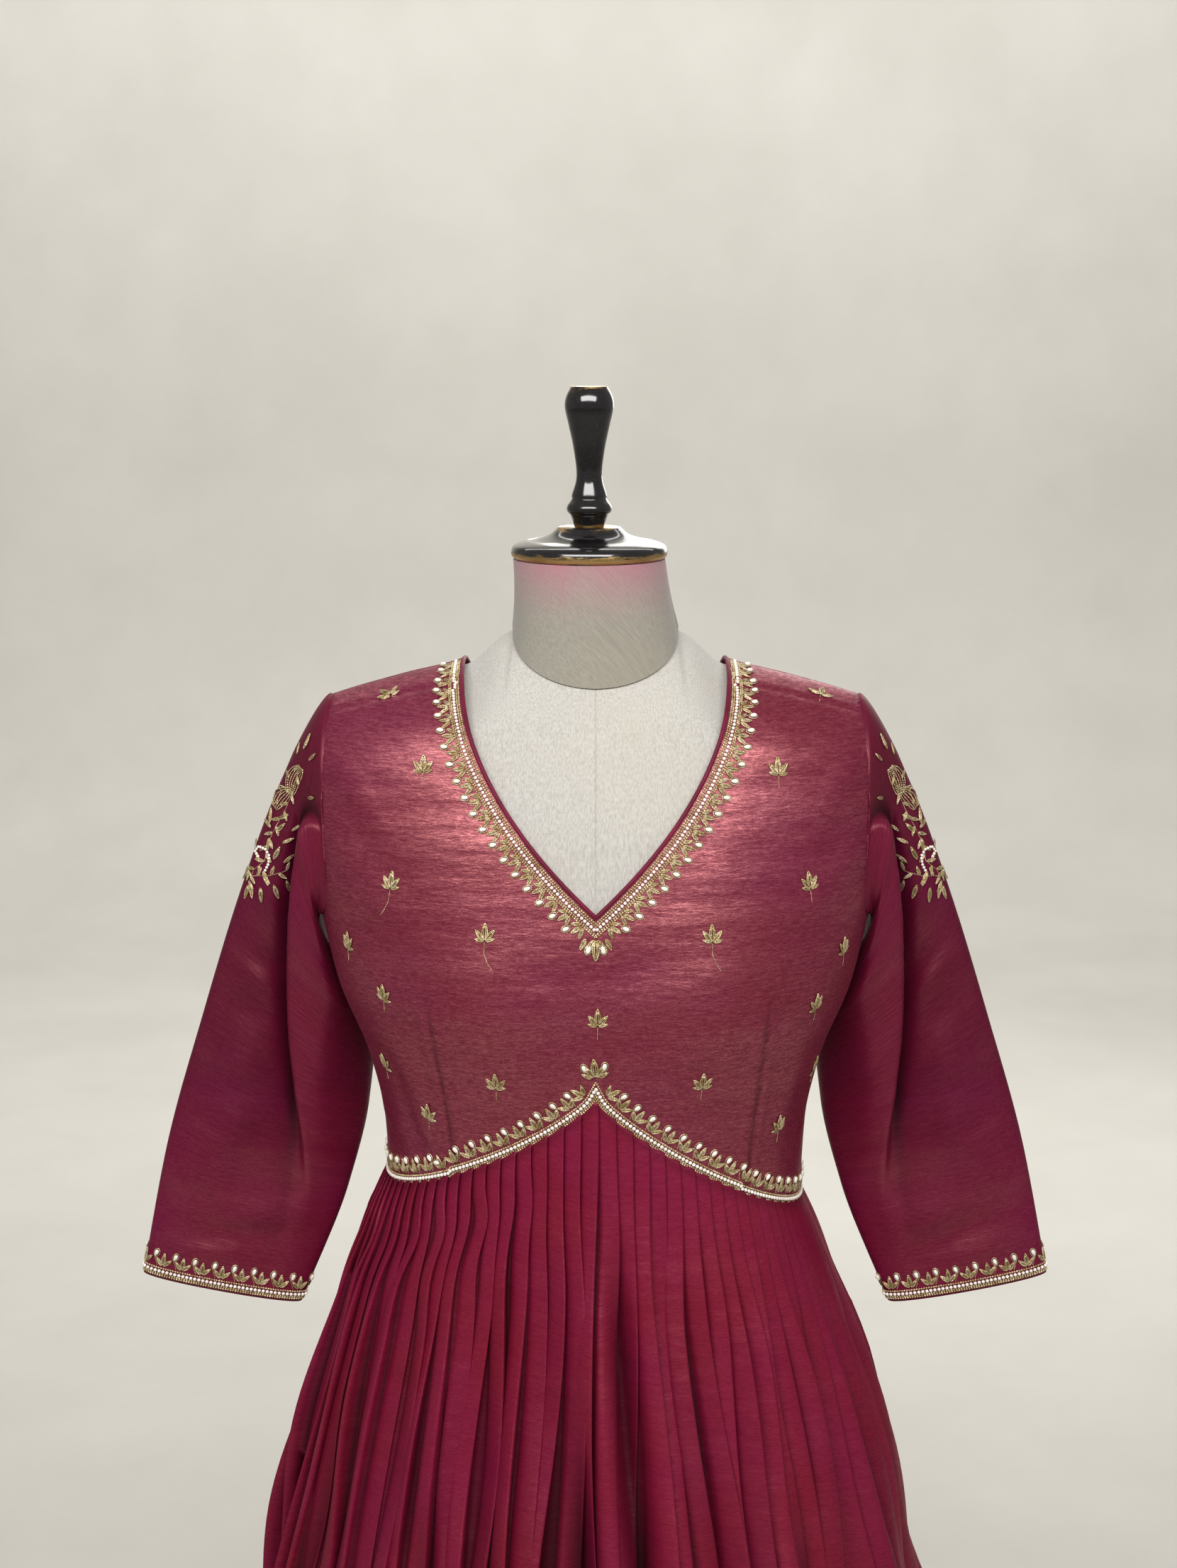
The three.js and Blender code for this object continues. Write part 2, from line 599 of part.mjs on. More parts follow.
// ---------- dress form and stand ----------
const NECK_COLUMNS = 5;       // of a quarter of the form
const SHOULDER_COLUMNS = 5;
const PLATE_COLUMNS = 4;
const FORM_COLUMNS = NECK_COLUMNS + SHOULDER_COLUMNS + PLATE_COLUMNS;
const FORM_RISE = [0, 0.13, 0.27, 0.4, 0.5, 0.6, 0.7, 0.79, 0.87, 0.94, 1];

function neckSeam(turn, side, lift = 0) {
  const { radius, frontDrop, sideDrop, backDrop } = NECK_FOOT;
  const middle = side === FRONT ? frontDrop : backDrop;
  const drop = mix(middle, sideDrop, Math.sin(turn) ** 2) - lift;
  return at(radius * Math.sin(turn), side * radius * Math.cos(turn), drop);
}

const plateAngle = (drop) => angleAt(FORM_ARM_X, drop, formAt);

// The form's top edge by column: neck seam, shoulder line, then down round the arm plate.
function formEdge(k) {
  if (k <= NECK_COLUMNS) {
    const turn = rad(90) * (k / NECK_COLUMNS);
    const x = NECK_FOOT.radius * Math.sin(turn);
    return { turn, drop: mix(NECK_FOOT.frontDrop, NECK_FOOT.sideDrop, Math.sin(turn) ** 2), x };
  }
  const shoulder = (k - NECK_COLUMNS) / SHOULDER_COLUMNS;
  if (shoulder <= 1) {
    const x = mix(NECK_FOOT.radius, FORM_ARM_X, shoulder ** 1.15);
    return { drop: shoulder ? formAt.ridge(x) : NECK_FOOT.sideDrop, x };
  }
  const down = Math.sin((rad(90) * (k - NECK_COLUMNS - SHOULDER_COLUMNS)) / PLATE_COLUMNS);
  return { drop: mix(formAt.ridge(FORM_ARM_X), FORM_UNDERARM_DROP, down), x: FORM_ARM_X, plate: true };
}

function formPoint(across, v, side) {
  const sign = Math.sign(across);
  const k = Math.abs(across);
  const edge = formEdge(k);
  const shared = k >= NECK_COLUMNS && k <= NECK_COLUMNS + SHOULDER_COLUMNS;
  if (v === 1) {
    if (k < NECK_COLUMNS) return neckSeam(sign * edge.turn, side);
    if (shared) return at(sign * edge.x, 0, edge.drop);
  }
  const foot = rad(90) * (k / FORM_COLUMNS);
  const top = edge.plate ? plateAngle(edge.drop) : angleAt(edge.x, edge.drop, formAt);
  const phi = k === FORM_COLUMNS ? rad(90) : mix(foot, top, v ** 1.3);
  const drop = mix(FORM_BOTTOM_DROP, edge.drop, v);
  const p = torsoPoint(sign * phi, drop, side, formAt);
  p.x = Math.max(-FORM_ARM_X, Math.min(FORM_ARM_X, p.x));
  return p;
}

function formTorso() {
  const grid = (side) => (i, j) => formPoint(i - FORM_COLUMNS, FORM_RISE[j], side);
  return lensGeometry(2 * FORM_COLUMNS, FORM_RISE.length - 1, grid(FRONT), grid(BACK));
}

function formNeck() {
  const columns = 2 * NECK_COLUMNS;
  const grid = (side) => (i, j) => {
    const turn = rad(90) * (i / NECK_COLUMNS - 1);
    if (j === 0) return neckSeam(turn, side, SEAM_GAP);
    const x = NECK_TOP.x + NECK_TOP.radius * Math.sin(turn);
    return at(x, side * NECK_TOP.radius * Math.cos(turn), NECK_TOP.drop);
  };
  return lensGeometry(columns, 1, grid(FRONT), grid(BACK));
}

function turned(profile, footZ, sides = ROUND_SIDES, x = 0) {
  const last = profile[profile.length - 1];
  const outline = [{ radius: 0, up: 0 }, ...profile, { radius: 0, up: last.up }]
    .map((p) => new THREE.Vector2(p.radius, p.up));
  const geometry = new THREE.LatheGeometry(outline, sides);
  geometry.rotateX(rad(90));
  geometry.translate(x, 0, footZ);
  return geometry;
}

const heightOf = (profile) => profile[profile.length - 1].up;

// ---------- the export ----------
const paint = (colour, roughness, metalness = 0) =>
  new THREE.MeshStandardMaterial({ color: colour, roughness, metalness });
const finishes = {
  tissue: paint(0x8f2345, 0.42, 0.2),
  piping: paint(0x86123c, 0.6),
  beads: paint(0xd9c48a, 0.35, 0.5),
  linen: paint(0xd8d3c6, 0.9),
  neckCloth: paint(0xbdb6a8, 0.9),
  lacquer: paint(0x120c0d, 0.12),
};

const gown = new THREE.Group();
function add(name, geometry, finish, parent = gown) {
  const mesh = new THREE.Mesh(geometry, finish);
  mesh.name = name;
  parent.add(mesh);
  return mesh;
}

add('bodice_front', bodicePanel(FRONT), finishes.tissue);
add('bodice_back', bodicePanel(BACK), finishes.tissue);
add('skirt_front', skirtPanel(FRONT), finishes.tissue);
add('skirt_back', skirtPanel(BACK), finishes.tissue);
add('sleeve_left', sleeveTube(1), finishes.tissue);
add('sleeve_right', sleeveTube(-1), finishes.tissue);

const middleColumn = BODICE_COLUMNS / 2;
const neckReach = Math.round(NECK_SHARE * middleColumn);
const neckBorder = bodiceBorder(
  FRONT, middleColumn - neckReach, middleColumn + neckReach, BODICE_ROWS - 2, 2);
add('neck_border', neckBorder, finishes.beads);
add('neck_piping', neckPiping(), finishes.piping);
add('waist_border_front', bodiceBorder(FRONT, 0, BODICE_COLUMNS, 0, 1), finishes.beads);
add('waist_border_back', bodiceBorder(BACK, 0, BODICE_COLUMNS, 0, 1), finishes.beads);
add('cuff_border_left', cuffBorder(1), finishes.beads);
add('cuff_border_right', cuffBorder(-1), finishes.beads);

const poleFoot = heightOf(BASE) + SEAM_GAP;
const poleTop = SHOULDER_POINT_Z - FORM_BOTTOM_DROP - SEAM_GAP;
const capFoot = SHOULDER_POINT_Z - NECK_TOP.drop + SEAM_GAP;
add('form_torso', formTorso(), finishes.linen);
add('form_neck', formNeck(), finishes.neckCloth);
add('neck_cap', turned(CAP, capFoot, ROUND_SIDES, NECK_TOP.x), finishes.lacquer);
add('finial', turned(FINIAL, capFoot + heightOf(CAP) + SEAM_GAP, 20, NECK_TOP.x), finishes.lacquer);
add('stand_pole', turned([{ radius: POLE_RADIUS, up: 0 }, { radius: POLE_RADIUS, up: poleTop - poleFoot }],
  poleFoot, 16), finishes.lacquer);
add('stand_base', turned(BASE, 0, 32), finishes.lacquer);

export default gown;
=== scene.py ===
import math

import bmesh
import bpy
import numpy as np
from mathutils import Matrix, Vector
from mathutils.bvhtree import BVHTree


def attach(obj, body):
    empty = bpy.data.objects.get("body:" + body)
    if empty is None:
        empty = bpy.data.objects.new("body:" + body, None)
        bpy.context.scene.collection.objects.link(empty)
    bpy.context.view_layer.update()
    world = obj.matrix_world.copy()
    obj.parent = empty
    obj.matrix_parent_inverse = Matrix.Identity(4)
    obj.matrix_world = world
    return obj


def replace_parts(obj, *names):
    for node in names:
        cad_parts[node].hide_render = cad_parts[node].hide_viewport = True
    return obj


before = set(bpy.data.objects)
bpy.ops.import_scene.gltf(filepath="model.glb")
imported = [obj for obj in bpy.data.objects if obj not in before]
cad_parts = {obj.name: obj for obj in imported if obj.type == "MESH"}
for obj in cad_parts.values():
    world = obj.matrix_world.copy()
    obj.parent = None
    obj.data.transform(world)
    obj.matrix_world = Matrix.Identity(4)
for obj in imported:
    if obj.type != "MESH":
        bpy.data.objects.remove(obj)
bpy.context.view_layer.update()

# ================================================================ camera
# A studio camera in front of the gown at head height, tilted down by 11 degrees, with a short
# portrait lens. The picture ends below the waist, so the hem and the stand's base lie under it.
SENSOR_LENGTH = 36
FRAME_LENGTH, FOCAL_LENGTH = 2212, 3400      # both in the frame's pixels
CAMERA_PLACE = (-0.005, -1.744, 1.6557)
CAMERA_TILT = math.radians(79)
camera_data = bpy.data.cameras.new("studio_camera")
camera_data.sensor_width = SENSOR_LENGTH
camera_data.lens = SENSOR_LENGTH * FOCAL_LENGTH / FRAME_LENGTH
studio_camera = bpy.data.objects.new("studio_camera", camera_data)
studio_camera.location = CAMERA_PLACE
studio_camera.rotation_euler = (CAMERA_TILT, 0, 0)
bpy.context.scene.collection.objects.link(studio_camera)
bpy.context.scene.camera = studio_camera
bpy.context.scene.view_settings.view_transform = "Standard"

# ================================================================ stand: base and pole
# The base is a spun steel dish over a cast weight, the pole a steel tube that stands in its boss.
# Both are painted gloss black. The base rests on the floor, the pole carries the dress form.
MM = 0.001
BASE_PROFILE = [(182, 0), (186, 4), (186, 15), (176, 23), (110, 28), (34, 33), (26, 40), (26, 60)]
POLE_PROFILE = [(15.2, 60.3), (16, 61.2), (16, 768.8), (15.2, 769.7)]


def link_mesh(name, mesh_data, material):
    piece = bpy.data.objects.new(name, mesh_data)
    piece.data.materials.append(material)
    bpy.context.scene.collection.objects.link(piece)
    return piece


def mesh_from(bm, name, sharp=None):
    """A smooth mesh. Edges that turn by more than sharp degrees stay sharp, where it is given."""
    data = bpy.data.meshes.new(name)
    bm.to_mesh(data)
    bm.free()
    data.polygons.foreach_set("use_smooth", [True] * len(data.polygons))
    if sharp:
        data.set_sharp_from_angle(angle=math.radians(sharp))
    return data


def rounded(profile, steps):
    """The profile's points joined by a smooth line that passes through each of them."""
    points = [np.array(p, float) for p in profile]
    points = [2 * points[0] - points[1], *points, 2 * points[-1] - points[-2]]
    line = []
    for before, start, end, after in zip(points, points[1:], points[2:], points[3:]):
        for t in np.arange(steps) / steps:
            line.append(0.5 * (2 * start + (end - before) * t
                               + (2 * before - 5 * start + 4 * end - after) * t * t
                               + (3 * start - before - 3 * end + after) * t ** 3))
    return [tuple(p) for p in line] + [profile[-1]]


def turned(name, profile, material, steps, around, middle_x=0.0, foot=0.0):
    """A body turned on a lathe, closed at both ends, from (radius, height) in millimetres."""
    side = rounded(profile, steps) if steps > 1 else profile
    outline = [(0, side[0][1]), *side, (0, side[-1][1])]
    bm = bmesh.new()
    verts = [bm.verts.new(((middle_x + r) * MM, 0, (foot + up) * MM)) for r, up in outline]
    edges = [bm.edges.new(pair) for pair in zip(verts, verts[1:])]
    bmesh.ops.spin(bm, geom=verts + edges, cent=(middle_x * MM, 0, 0), axis=(0, 0, 1),
                   angle=2 * math.pi, steps=around, use_merge=True)
    bmesh.ops.remove_doubles(bm, verts=bm.verts, dist=1e-6)
    bmesh.ops.recalc_face_normals(bm, faces=bm.faces)
    return link_mesh(name, mesh_from(bm, name, sharp=50), material)


def wire(material, kind, values=None, links=None, **settings):
    """One shader node, with its settings, its socket values and the outputs that feed it."""
    made = material.node_tree.nodes.new("ShaderNode" + kind)
    for key, value in settings.items():
        setattr(made, key, value)
    for socket, value in (values or {}).items():
        made.inputs[socket].default_value = value
    for socket, output in (links or {}).items():
        material.node_tree.links.new(output, made.inputs[socket])
    return made


def new_material(name):
    material = bpy.data.materials.new(name)
    material.use_nodes = True
    material.node_tree.nodes.clear()
    return material


def finish_material(material, surface):
    wire(material, "OutputMaterial", links={"Surface": surface})
    return material


def ramp(material, source, *stops):
    """A colour ramp from (place, colour) stops, where a colour may be one grey number."""
    made = wire(material, "ValToRGB", links={"Fac": source})
    elements = made.color_ramp.elements
    elements.remove(elements[1])
    elements[0].position = stops[0][0]
    for place, _ in stops[1:]:
        elements.new(place)
    for element, (_, colour) in zip(elements, stops):
        element.color = (colour,) * 3 + (1,) if isinstance(colour, (int, float)) else (*colour, 1)
    return made.outputs["Color"]


def blended(material, share, low, high, kind="MIX"):
    """A colour mix. Each of the three is an output, a colour or a number."""
    made = wire(material, "Mix", data_type="RGBA", blend_type=kind)
    for index, value in ((0, share), (6, low), (7, high)):
        if isinstance(value, bpy.types.NodeSocket):
            material.node_tree.links.new(value, made.inputs[index])
        else:
            made.inputs[index].default_value = value if index == 0 else (*value, 1)
    return made.outputs[2]


def sums(material, operation, *terms):
    made = wire(material, "Math", operation=operation)
    for index, term in enumerate(terms):
        if isinstance(term, bpy.types.NodeSocket):
            material.node_tree.links.new(term, made.inputs[index])
        else:
            made.inputs[index].default_value = term
    return made.outputs[0]


def noise(material, coordinates, scale, detail=3.0, roughness=0.5):
    return wire(material, "TexNoise", {"Scale": scale, "Detail": detail, "Roughness": roughness},
                {"Vector": coordinates}).outputs["Fac"]


def mapped(material, coordinates, scale=(1, 1, 1), turn=(0, 0, 0), move=(0, 0, 0)):
    return wire(material, "Mapping", {"Scale": scale, "Rotation": turn, "Location": move},
                {"Vector": coordinates}).outputs["Vector"]


def bumped(material, height, strength, distance):
    return wire(material, "Bump", {"Strength": strength, "Distance": distance},
                {"Height": height}).outputs["Normal"]


def black_lacquer(name, gold_bands=()):
    """Gloss black paint with fine dust and scuffs, rubbed through to gold inside the given bands.
    A band is its lowest and highest height in metres, and how much of it is rubbed."""
    material = new_material(name)
    place = wire(material, "TexCoord").outputs["Object"]
    dust = noise(material, place, 900, 2)
    cloud = noise(material, place, 40, 4)
    colour = blended(material, ramp(material, dust, (0.62, 0.0), (0.74, 0.6)),
                     (0.0045, 0.0035, 0.004), (0.05, 0.045, 0.042))
    rough = ramp(material, cloud, (0.35, 0.10), (0.7, 0.24))
    paint = wire(material, "BsdfPrincipled",
                 {"Specular IOR Level": 0.55, "Coat Weight": 0.5, "Coat Roughness": 0.08},
                 {"Base Color": colour, "Roughness": rough,
                  "Normal": bumped(material, cloud, 0.08, 0.002)})
    if not gold_bands:
        return finish_material(material, paint.outputs[0])
    height = wire(material, "SeparateXYZ", links={"Vector": place}).outputs["Z"]
    rubbed = None
    for low, high, share in gold_bands:
        inside = wire(material, "MapRange", {"From Min": low, "From Max": (low + high) / 2},
                      {"Value": height}).outputs[0]
        above = wire(material, "MapRange", {"From Min": (low + high) / 2, "From Max": high,
                                            "To Min": 1.0, "To Max": 0.0},
                     {"Value": height}).outputs[0]
        patch = sums(material, "MULTIPLY", sums(material, "MINIMUM", inside, above), share)
        rubbed = patch if rubbed is None else sums(material, "MAXIMUM", rubbed, patch)
    scuff = noise(material, mapped(material, place, (60, 60, 420)), 1.0, 5, 0.65)
    worn = ramp(material, sums(material, "ADD", sums(material, "MULTIPLY", rubbed, 0.9), scuff),
                (0.86, 0.0), (1.0, 1.0))
    gilt = wire(material, "BsdfPrincipled", {"Metallic": 1.0},
                {"Base Color": blended(material, cloud, (0.34, 0.20, 0.07), (0.66, 0.46, 0.20)),
                 "Roughness": ramp(material, dust, (0.3, 0.28), (0.7, 0.5)),
                 "Normal": bumped(material, scuff, 0.3, 0.0006)})
    both = wire(material, "MixShader", links={0: worn, 1: paint.outputs[0], 2: gilt.outputs[0]})
    return finish_material(material, both.outputs[0])


stand_paint = black_lacquer("stand_black_paint")
for name, profile, steps, around, node in (
        ("stand_base_dish", BASE_PROFILE, 4, 96, "stand_base"),
        ("stand_pole_tube", POLE_PROFILE, 1, 64, "stand_pole")):
    piece = turned(name, profile, stand_paint, steps=steps, around=around)
    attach(piece, "root")
    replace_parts(piece, node)

# ================================================================ dress form: torso
# A padded body of papier mache and wadding under a sewn linen cover: front and back halves with a
# faint seam down the middle of the front, flat plates at the arms and a flat underside. It is
# screwed on the pole.
SHOULDER_Z = 1410            # the gown's shoulder point; other heights are drops below it
SECTION_POWER = 2.3
SHOULDER_ROUND = 55
BUST = dict(out=7, x=84, drop=238, wide=48, high=58)
RIDGE_LINE = [(0, -32), (58, -24), (97, 0), (140, 11), (192, 26), (214, 35)]
FORM_SECTIONS = [             # drop, half width, depth in front, depth behind
    (-34, 194, 54, 58), (0, 197, 64, 69), (60, 199, 88, 87), (120, 193, 109, 96),
    (190, 172, 122, 96), (235, 169, 126, 92), (292, 156, 116, 86), (345, 146, 105, 81),
    (398, 143, 99, 79), (470, 156, 104, 92), (560, 178, 112, 112), (640, 172, 106, 108)]
FORM_ARM_X = 172
FORM_BOTTOM_DROP = 640
FORM_UNDERARM_DROP = 190
NECK_RADIUS = 59.5
QUARTER = math.pi / 2
FRONT, BACK = -1, 1
NECK_DROPS = {FRONT: 3, BACK: -8}      # where the torso's neck edge lies in front and behind
# The cover's upper edge in steps from its middle: round the neck, over the shoulder, down the arm.
NECK_STEPS, SHOULDER_STEPS, EDGE_STEPS = 5, 10, 14


def curve(xs, ys):
    """A smooth line through a table's rows that never overshoots them."""
    x, y = np.array(xs, float), np.array(ys, float)
    width = np.diff(x)
    rise = np.diff(y) / width
    slope = np.concatenate([rise[:1], np.zeros(len(x) - 2), rise[-1:]])
    for i in range(1, len(x) - 1):
        if rise[i - 1] * rise[i] > 0:
            slope[i] = 2 * rise[i - 1] * rise[i] / (rise[i - 1] + rise[i])

    def value(q):
        q = np.clip(q, x[0], x[-1])
        i = np.clip(np.searchsorted(x, q, side="right") - 1, 0, len(width) - 1)
        w = width[i]
        t = (q - x[i]) / w
        return ((2 * t ** 3 - 3 * t ** 2 + 1) * y[i] + (t ** 3 - 2 * t ** 2 + t) * w * slope[i]
                + (3 * t ** 2 - 2 * t ** 3) * y[i + 1] + (t ** 3 - t ** 2) * w * slope[i + 1])
    return value


def curves(rows):
    first, *others = zip(*rows)
    return [curve(first, other) for other in others]


def mix(a, b, t):
    return a + (b - a) * t


def smooth(t):
    t = np.clip(t, 0, 1)
    return t * t * (3 - 2 * t)


def bell(t):
    return np.exp(-t * t)


def sine_square(phi):
    return (1 - np.minimum(np.abs(np.sin(phi)), 1) ** SECTION_POWER) ** (1 / SECTION_POWER)


def torso_point(phi, drop, side, sections, ridge):
    """Points of a torso at angles from the middle, at drops, in front (-1) or behind (1)."""
    half, front, back = sections
    x = half(drop) * np.sin(phi)
    under = np.clip((drop - ridge(np.abs(x))) / SHOULDER_ROUND, 0, 1)
    over = np.sqrt(1 - (1 - under) ** 2)
    bust = (BUST["out"] * bell((np.abs(x) - BUST["x"]) / BUST["wide"])
            * bell((drop - BUST["drop"]) / BUST["high"]) if side == FRONT else 0)
    depth = (front if side == FRONT else back)(drop) * over + bust
    return np.stack([x, side * sine_square(phi) * depth, SHOULDER_Z - drop], axis=-1)


def angle_at(x, drop, sections):
    return np.arcsin(np.clip(x / sections[0](drop), 0, 1))


gown_ridge = curve(*zip(*RIDGE_LINE))
form_sections = curves(FORM_SECTIONS)


def form_ridge(x):
    """The form's shoulder line, under the gown's, and lower still where the neck edge lies."""
    return gown_ridge(x) + 2.5 + 3.6 * bell((x - 88) / 13)


def form_point(across, rise, side):
    """across runs from -1 to 1 over one half of the cover, rise from its underside to its top."""
    k = np.abs(across) * EDGE_STEPS
    sign = np.sign(across)
    by_neck = k <= NECK_STEPS
    turn = QUARTER * np.clip(k / NECK_STEPS, 0, 1)
    shoulder = np.clip((k - NECK_STEPS) / (SHOULDER_STEPS - NECK_STEPS), 0, 1)
    plate = np.clip((k - SHOULDER_STEPS) / (EDGE_STEPS - SHOULDER_STEPS), 0, 1)
    x = np.where(by_neck, NECK_RADIUS * np.sin(turn),
                 mix(NECK_RADIUS, FORM_ARM_X, shoulder ** 1.15))
    side_drop = form_ridge(NECK_RADIUS)
    top = np.where(by_neck, mix(NECK_DROPS[FRONT], side_drop, np.sin(turn) ** 2), form_ridge(x))
    top = np.where(k > SHOULDER_STEPS, mix(form_ridge(FORM_ARM_X), FORM_UNDERARM_DROP,
                                           np.sin(QUARTER * plate)), top)
    phi = mix(QUARTER * k / EDGE_STEPS, angle_at(x, top, form_sections), rise ** 1.3)
    phi = np.where(k >= EDGE_STEPS - 0.001, QUARTER, phi)
    p = torso_point(sign * phi, mix(FORM_BOTTOM_DROP, top, rise), side, form_sections, form_ridge)
    p[..., 0] = np.clip(p[..., 0], -FORM_ARM_X, FORM_ARM_X)
    seam_drop = np.where(by_neck, mix(NECK_DROPS[side], side_drop, np.sin(turn) ** 2), top)
    seam = np.stack([sign * x, side * np.where(by_neck, NECK_RADIUS * np.cos(turn), 0.0),
                     SHOULDER_Z - seam_drop], axis=-1)
    near_top = smooth((rise - 0.93) / 0.07)[..., None] * (k <= SHOULDER_STEPS)[..., None]
    return mix(p, seam, near_top)


def shaped_grid(bm, columns, rows, place, cloth=None, depth=None):
    """A grid of faces whose points are set by place(u, v), with u and v from 0 to 1, in
    millimetres. cloth(u, v, points) gives each point's place on the flat cloth, in metres, and
    depth(u, v, points) how much painted shade each point gets, from 0 to 1, kept in a second UV
    layer."""
    made = bmesh.ops.create_grid(bm, x_segments=columns, y_segments=rows, size=0.5)["verts"]
    u = np.array([vert.co.x + 0.5 for vert in made])
    v = np.array([vert.co.y + 0.5 for vert in made])
    points = place(u, v) * MM
    if cloth:
        layer = bm.loops.layers.uv.get("UVMap") or bm.loops.layers.uv.new("UVMap")
        for vert, x, y in zip(made, *cloth(u, v, points)):
            for loop in vert.link_loops:
                loop[layer].uv = (x, y)
    # Painted shade: depth goes into the CreaseMap UV layer, which the silk's material turns into
    # darker colour and less gloss.
    if depth:
        layer = bm.loops.layers.uv.get("CreaseMap") or bm.loops.layers.uv.new("CreaseMap")
        for vert, x in zip(made, depth(u, v, points)):
            for loop in vert.link_loops:
                loop[layer].uv = (min(1.0, max(0.0, x)), 0.5)
    for vert, point in zip(made, points):
        vert.co = point


def closed_cover(bm, name, sharp):
    """The mesh of a cover: its halves joined, its open ends filled and its faces turned out."""
    bmesh.ops.remove_doubles(bm, verts=bm.verts, dist=2e-5)
    bmesh.ops.holes_fill(bm, edges=[e for e in bm.edges if e.is_boundary], sides=0)
    bmesh.ops.recalc_face_normals(bm, faces=bm.faces)
    return mesh_from(bm, name, sharp)


def linen(name, base, shade, slub=1.0, turn=0.0, weave=1.0, stain=None, seam=0.0):
    """Plain woven linen: thread by thread bump, thicker slubs along one way, faint yellowing."""
    material = new_material(name)
    place = wire(material, "TexCoord").outputs["Object"]
    turned_place = mapped(material, place, turn=(0, turn, 0))
    down = noise(material, mapped(material, turned_place, (900, 900, 26)), 1.0, 4, 0.6)
    across = noise(material, mapped(material, turned_place, (30, 30, 900)), 1.0, 3, 0.55)
    patches = noise(material, place, 9, 4, 0.55)
    threads = wire(material, "TexWave", {"Scale": 260.0 * weave, "Distortion": 1.2,
                                         "Detail": 2.0, "Detail Scale": 3.0},
                   {"Vector": turned_place}, bands_direction="X").outputs["Fac"]
    colour = blended(material, ramp(material, down, (0.38, 0.0), (0.66, slub)), base, shade)
    colour = blended(material, ramp(material, across, (0.45, 0.0), (0.75, 0.15 * slub)),
                     colour, tuple(0.86 * c for c in shade))
    colour = blended(material, ramp(material, patches, (0.42, 0.0), (0.75, 0.35)),
                     colour, (base[0] * 0.98, base[1] * 0.93, base[2] * 0.80))
    if seam:
        x = wire(material, "SeparateXYZ", links={"Vector": place}).outputs["X"]
        line = wire(material, "MapRange", {"From Min": 0.0003, "From Max": 0.0012,
                                           "To Min": seam, "To Max": 0.0},
                    {"Value": sums(material, "ABSOLUTE", x)}).outputs[0]
        colour = blended(material, line, colour, tuple(0.55 * c for c in shade))
    if stain:
        low, high, tint = stain
        height = wire(material, "SeparateXYZ", links={"Vector": place}).outputs["Z"]
        rising = wire(material, "MapRange", {"From Min": low, "From Max": high},
                      {"Value": height}).outputs[0]
        mottled = noise(material, mapped(material, place, (40, 40, 14)), 1.0, 4, 0.6)
        amount = ramp(material, sums(material, "MULTIPLY", sums(material, "POWER", rising, 1.6),
                                     sums(material, "ADD", mottled, 0.35)),
                      (0.08, 0.0), (0.95, 0.8))
        colour = blended(material, amount, colour, tint)
    height = sums(material, "ADD", sums(material, "MULTIPLY", threads, 0.5),
                  sums(material, "ADD", down, across))
    cloth = wire(material, "BsdfPrincipled",
                 {"Roughness": 0.88, "Sheen Weight": 0.25, "Sheen Roughness": 0.6,
                  "Specular IOR Level": 0.25},
                 {"Base Color": colour, "Normal": bumped(material, height, 0.35, 0.0005)})
    return finish_material(material, cloth.outputs[0])


form_linen = linen("form_linen", (0.51, 0.495, 0.462), (0.35, 0.33, 0.295), slub=0.8, seam=0.22)
bm = bmesh.new()
for side in (FRONT, BACK):
    shaped_grid(bm, 112, 64, lambda u, v, s=side: form_point(2 * u - 1, v, s))
torso_piece = link_mesh("form_torso_cover", closed_cover(bm, "form_torso_cover", 48), form_linen)
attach(torso_piece, "root")
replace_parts(torso_piece, "form_torso")

# ================================================================ dress form: neck
# A bias-cut sleeve of greyer linen, stretched over the padded neck and turned under at its foot,
# with a pink stain from dyed gowns near the top.
NECK_TOP = dict(radius=55, drop=-73, x=-4.5)
NECK_FOOT = dict(front=12, side=-24, back=-2, half=60.4, proud=1.2)      # drops, half width
NECK_WAIST = 0.018            # how much slimmer it is halfway up


def neck_point(u, v):
    """The neck's cover, from its foot on the torso up to the cap."""
    turn = 2 * math.pi * u
    ahead = -np.cos(turn)
    foot_drop = mix(NECK_FOOT["side"], np.where(ahead < 0, NECK_FOOT["front"], NECK_FOOT["back"]),
                    np.abs(ahead))
    foot_x = NECK_FOOT["half"] * np.sin(turn)
    foot_phi = angle_at(np.abs(foot_x), foot_drop, form_sections) * np.sign(foot_x)
    foot = np.where((ahead < 0)[:, None],
                    torso_point(foot_phi, foot_drop, FRONT, form_sections, form_ridge),
                    torso_point(foot_phi, foot_drop, BACK, form_sections, form_ridge))
    foot[:, 1] += NECK_FOOT["proud"] * ahead
    top = np.stack([NECK_TOP["x"] + NECK_TOP["radius"] * np.sin(turn),
                    NECK_TOP["radius"] * ahead,
                    np.full_like(u, SHOULDER_Z - NECK_TOP["drop"])], axis=-1)
    slimmed = 1 - NECK_WAIST * np.sin(math.pi * np.clip(v, 0, 1))
    return mix(foot, top, v[..., None]) * np.stack([slimmed, slimmed, 0 * v + 1], axis=-1)


neck_linen = linen("neck_bias_linen", (0.285, 0.266, 0.222), (0.225, 0.207, 0.168), slub=0.9,
                   turn=math.radians(42), weave=0.8, stain=(1.43, 1.487, (0.40, 0.13, 0.19)))
bm = bmesh.new()
shaped_grid(bm, 96, 28, neck_point)
neck_piece = link_mesh("form_neck_cover", closed_cover(bm, "form_neck_cover", 60), neck_linen)
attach(neck_piece, "root")
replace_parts(neck_piece, "form_neck")

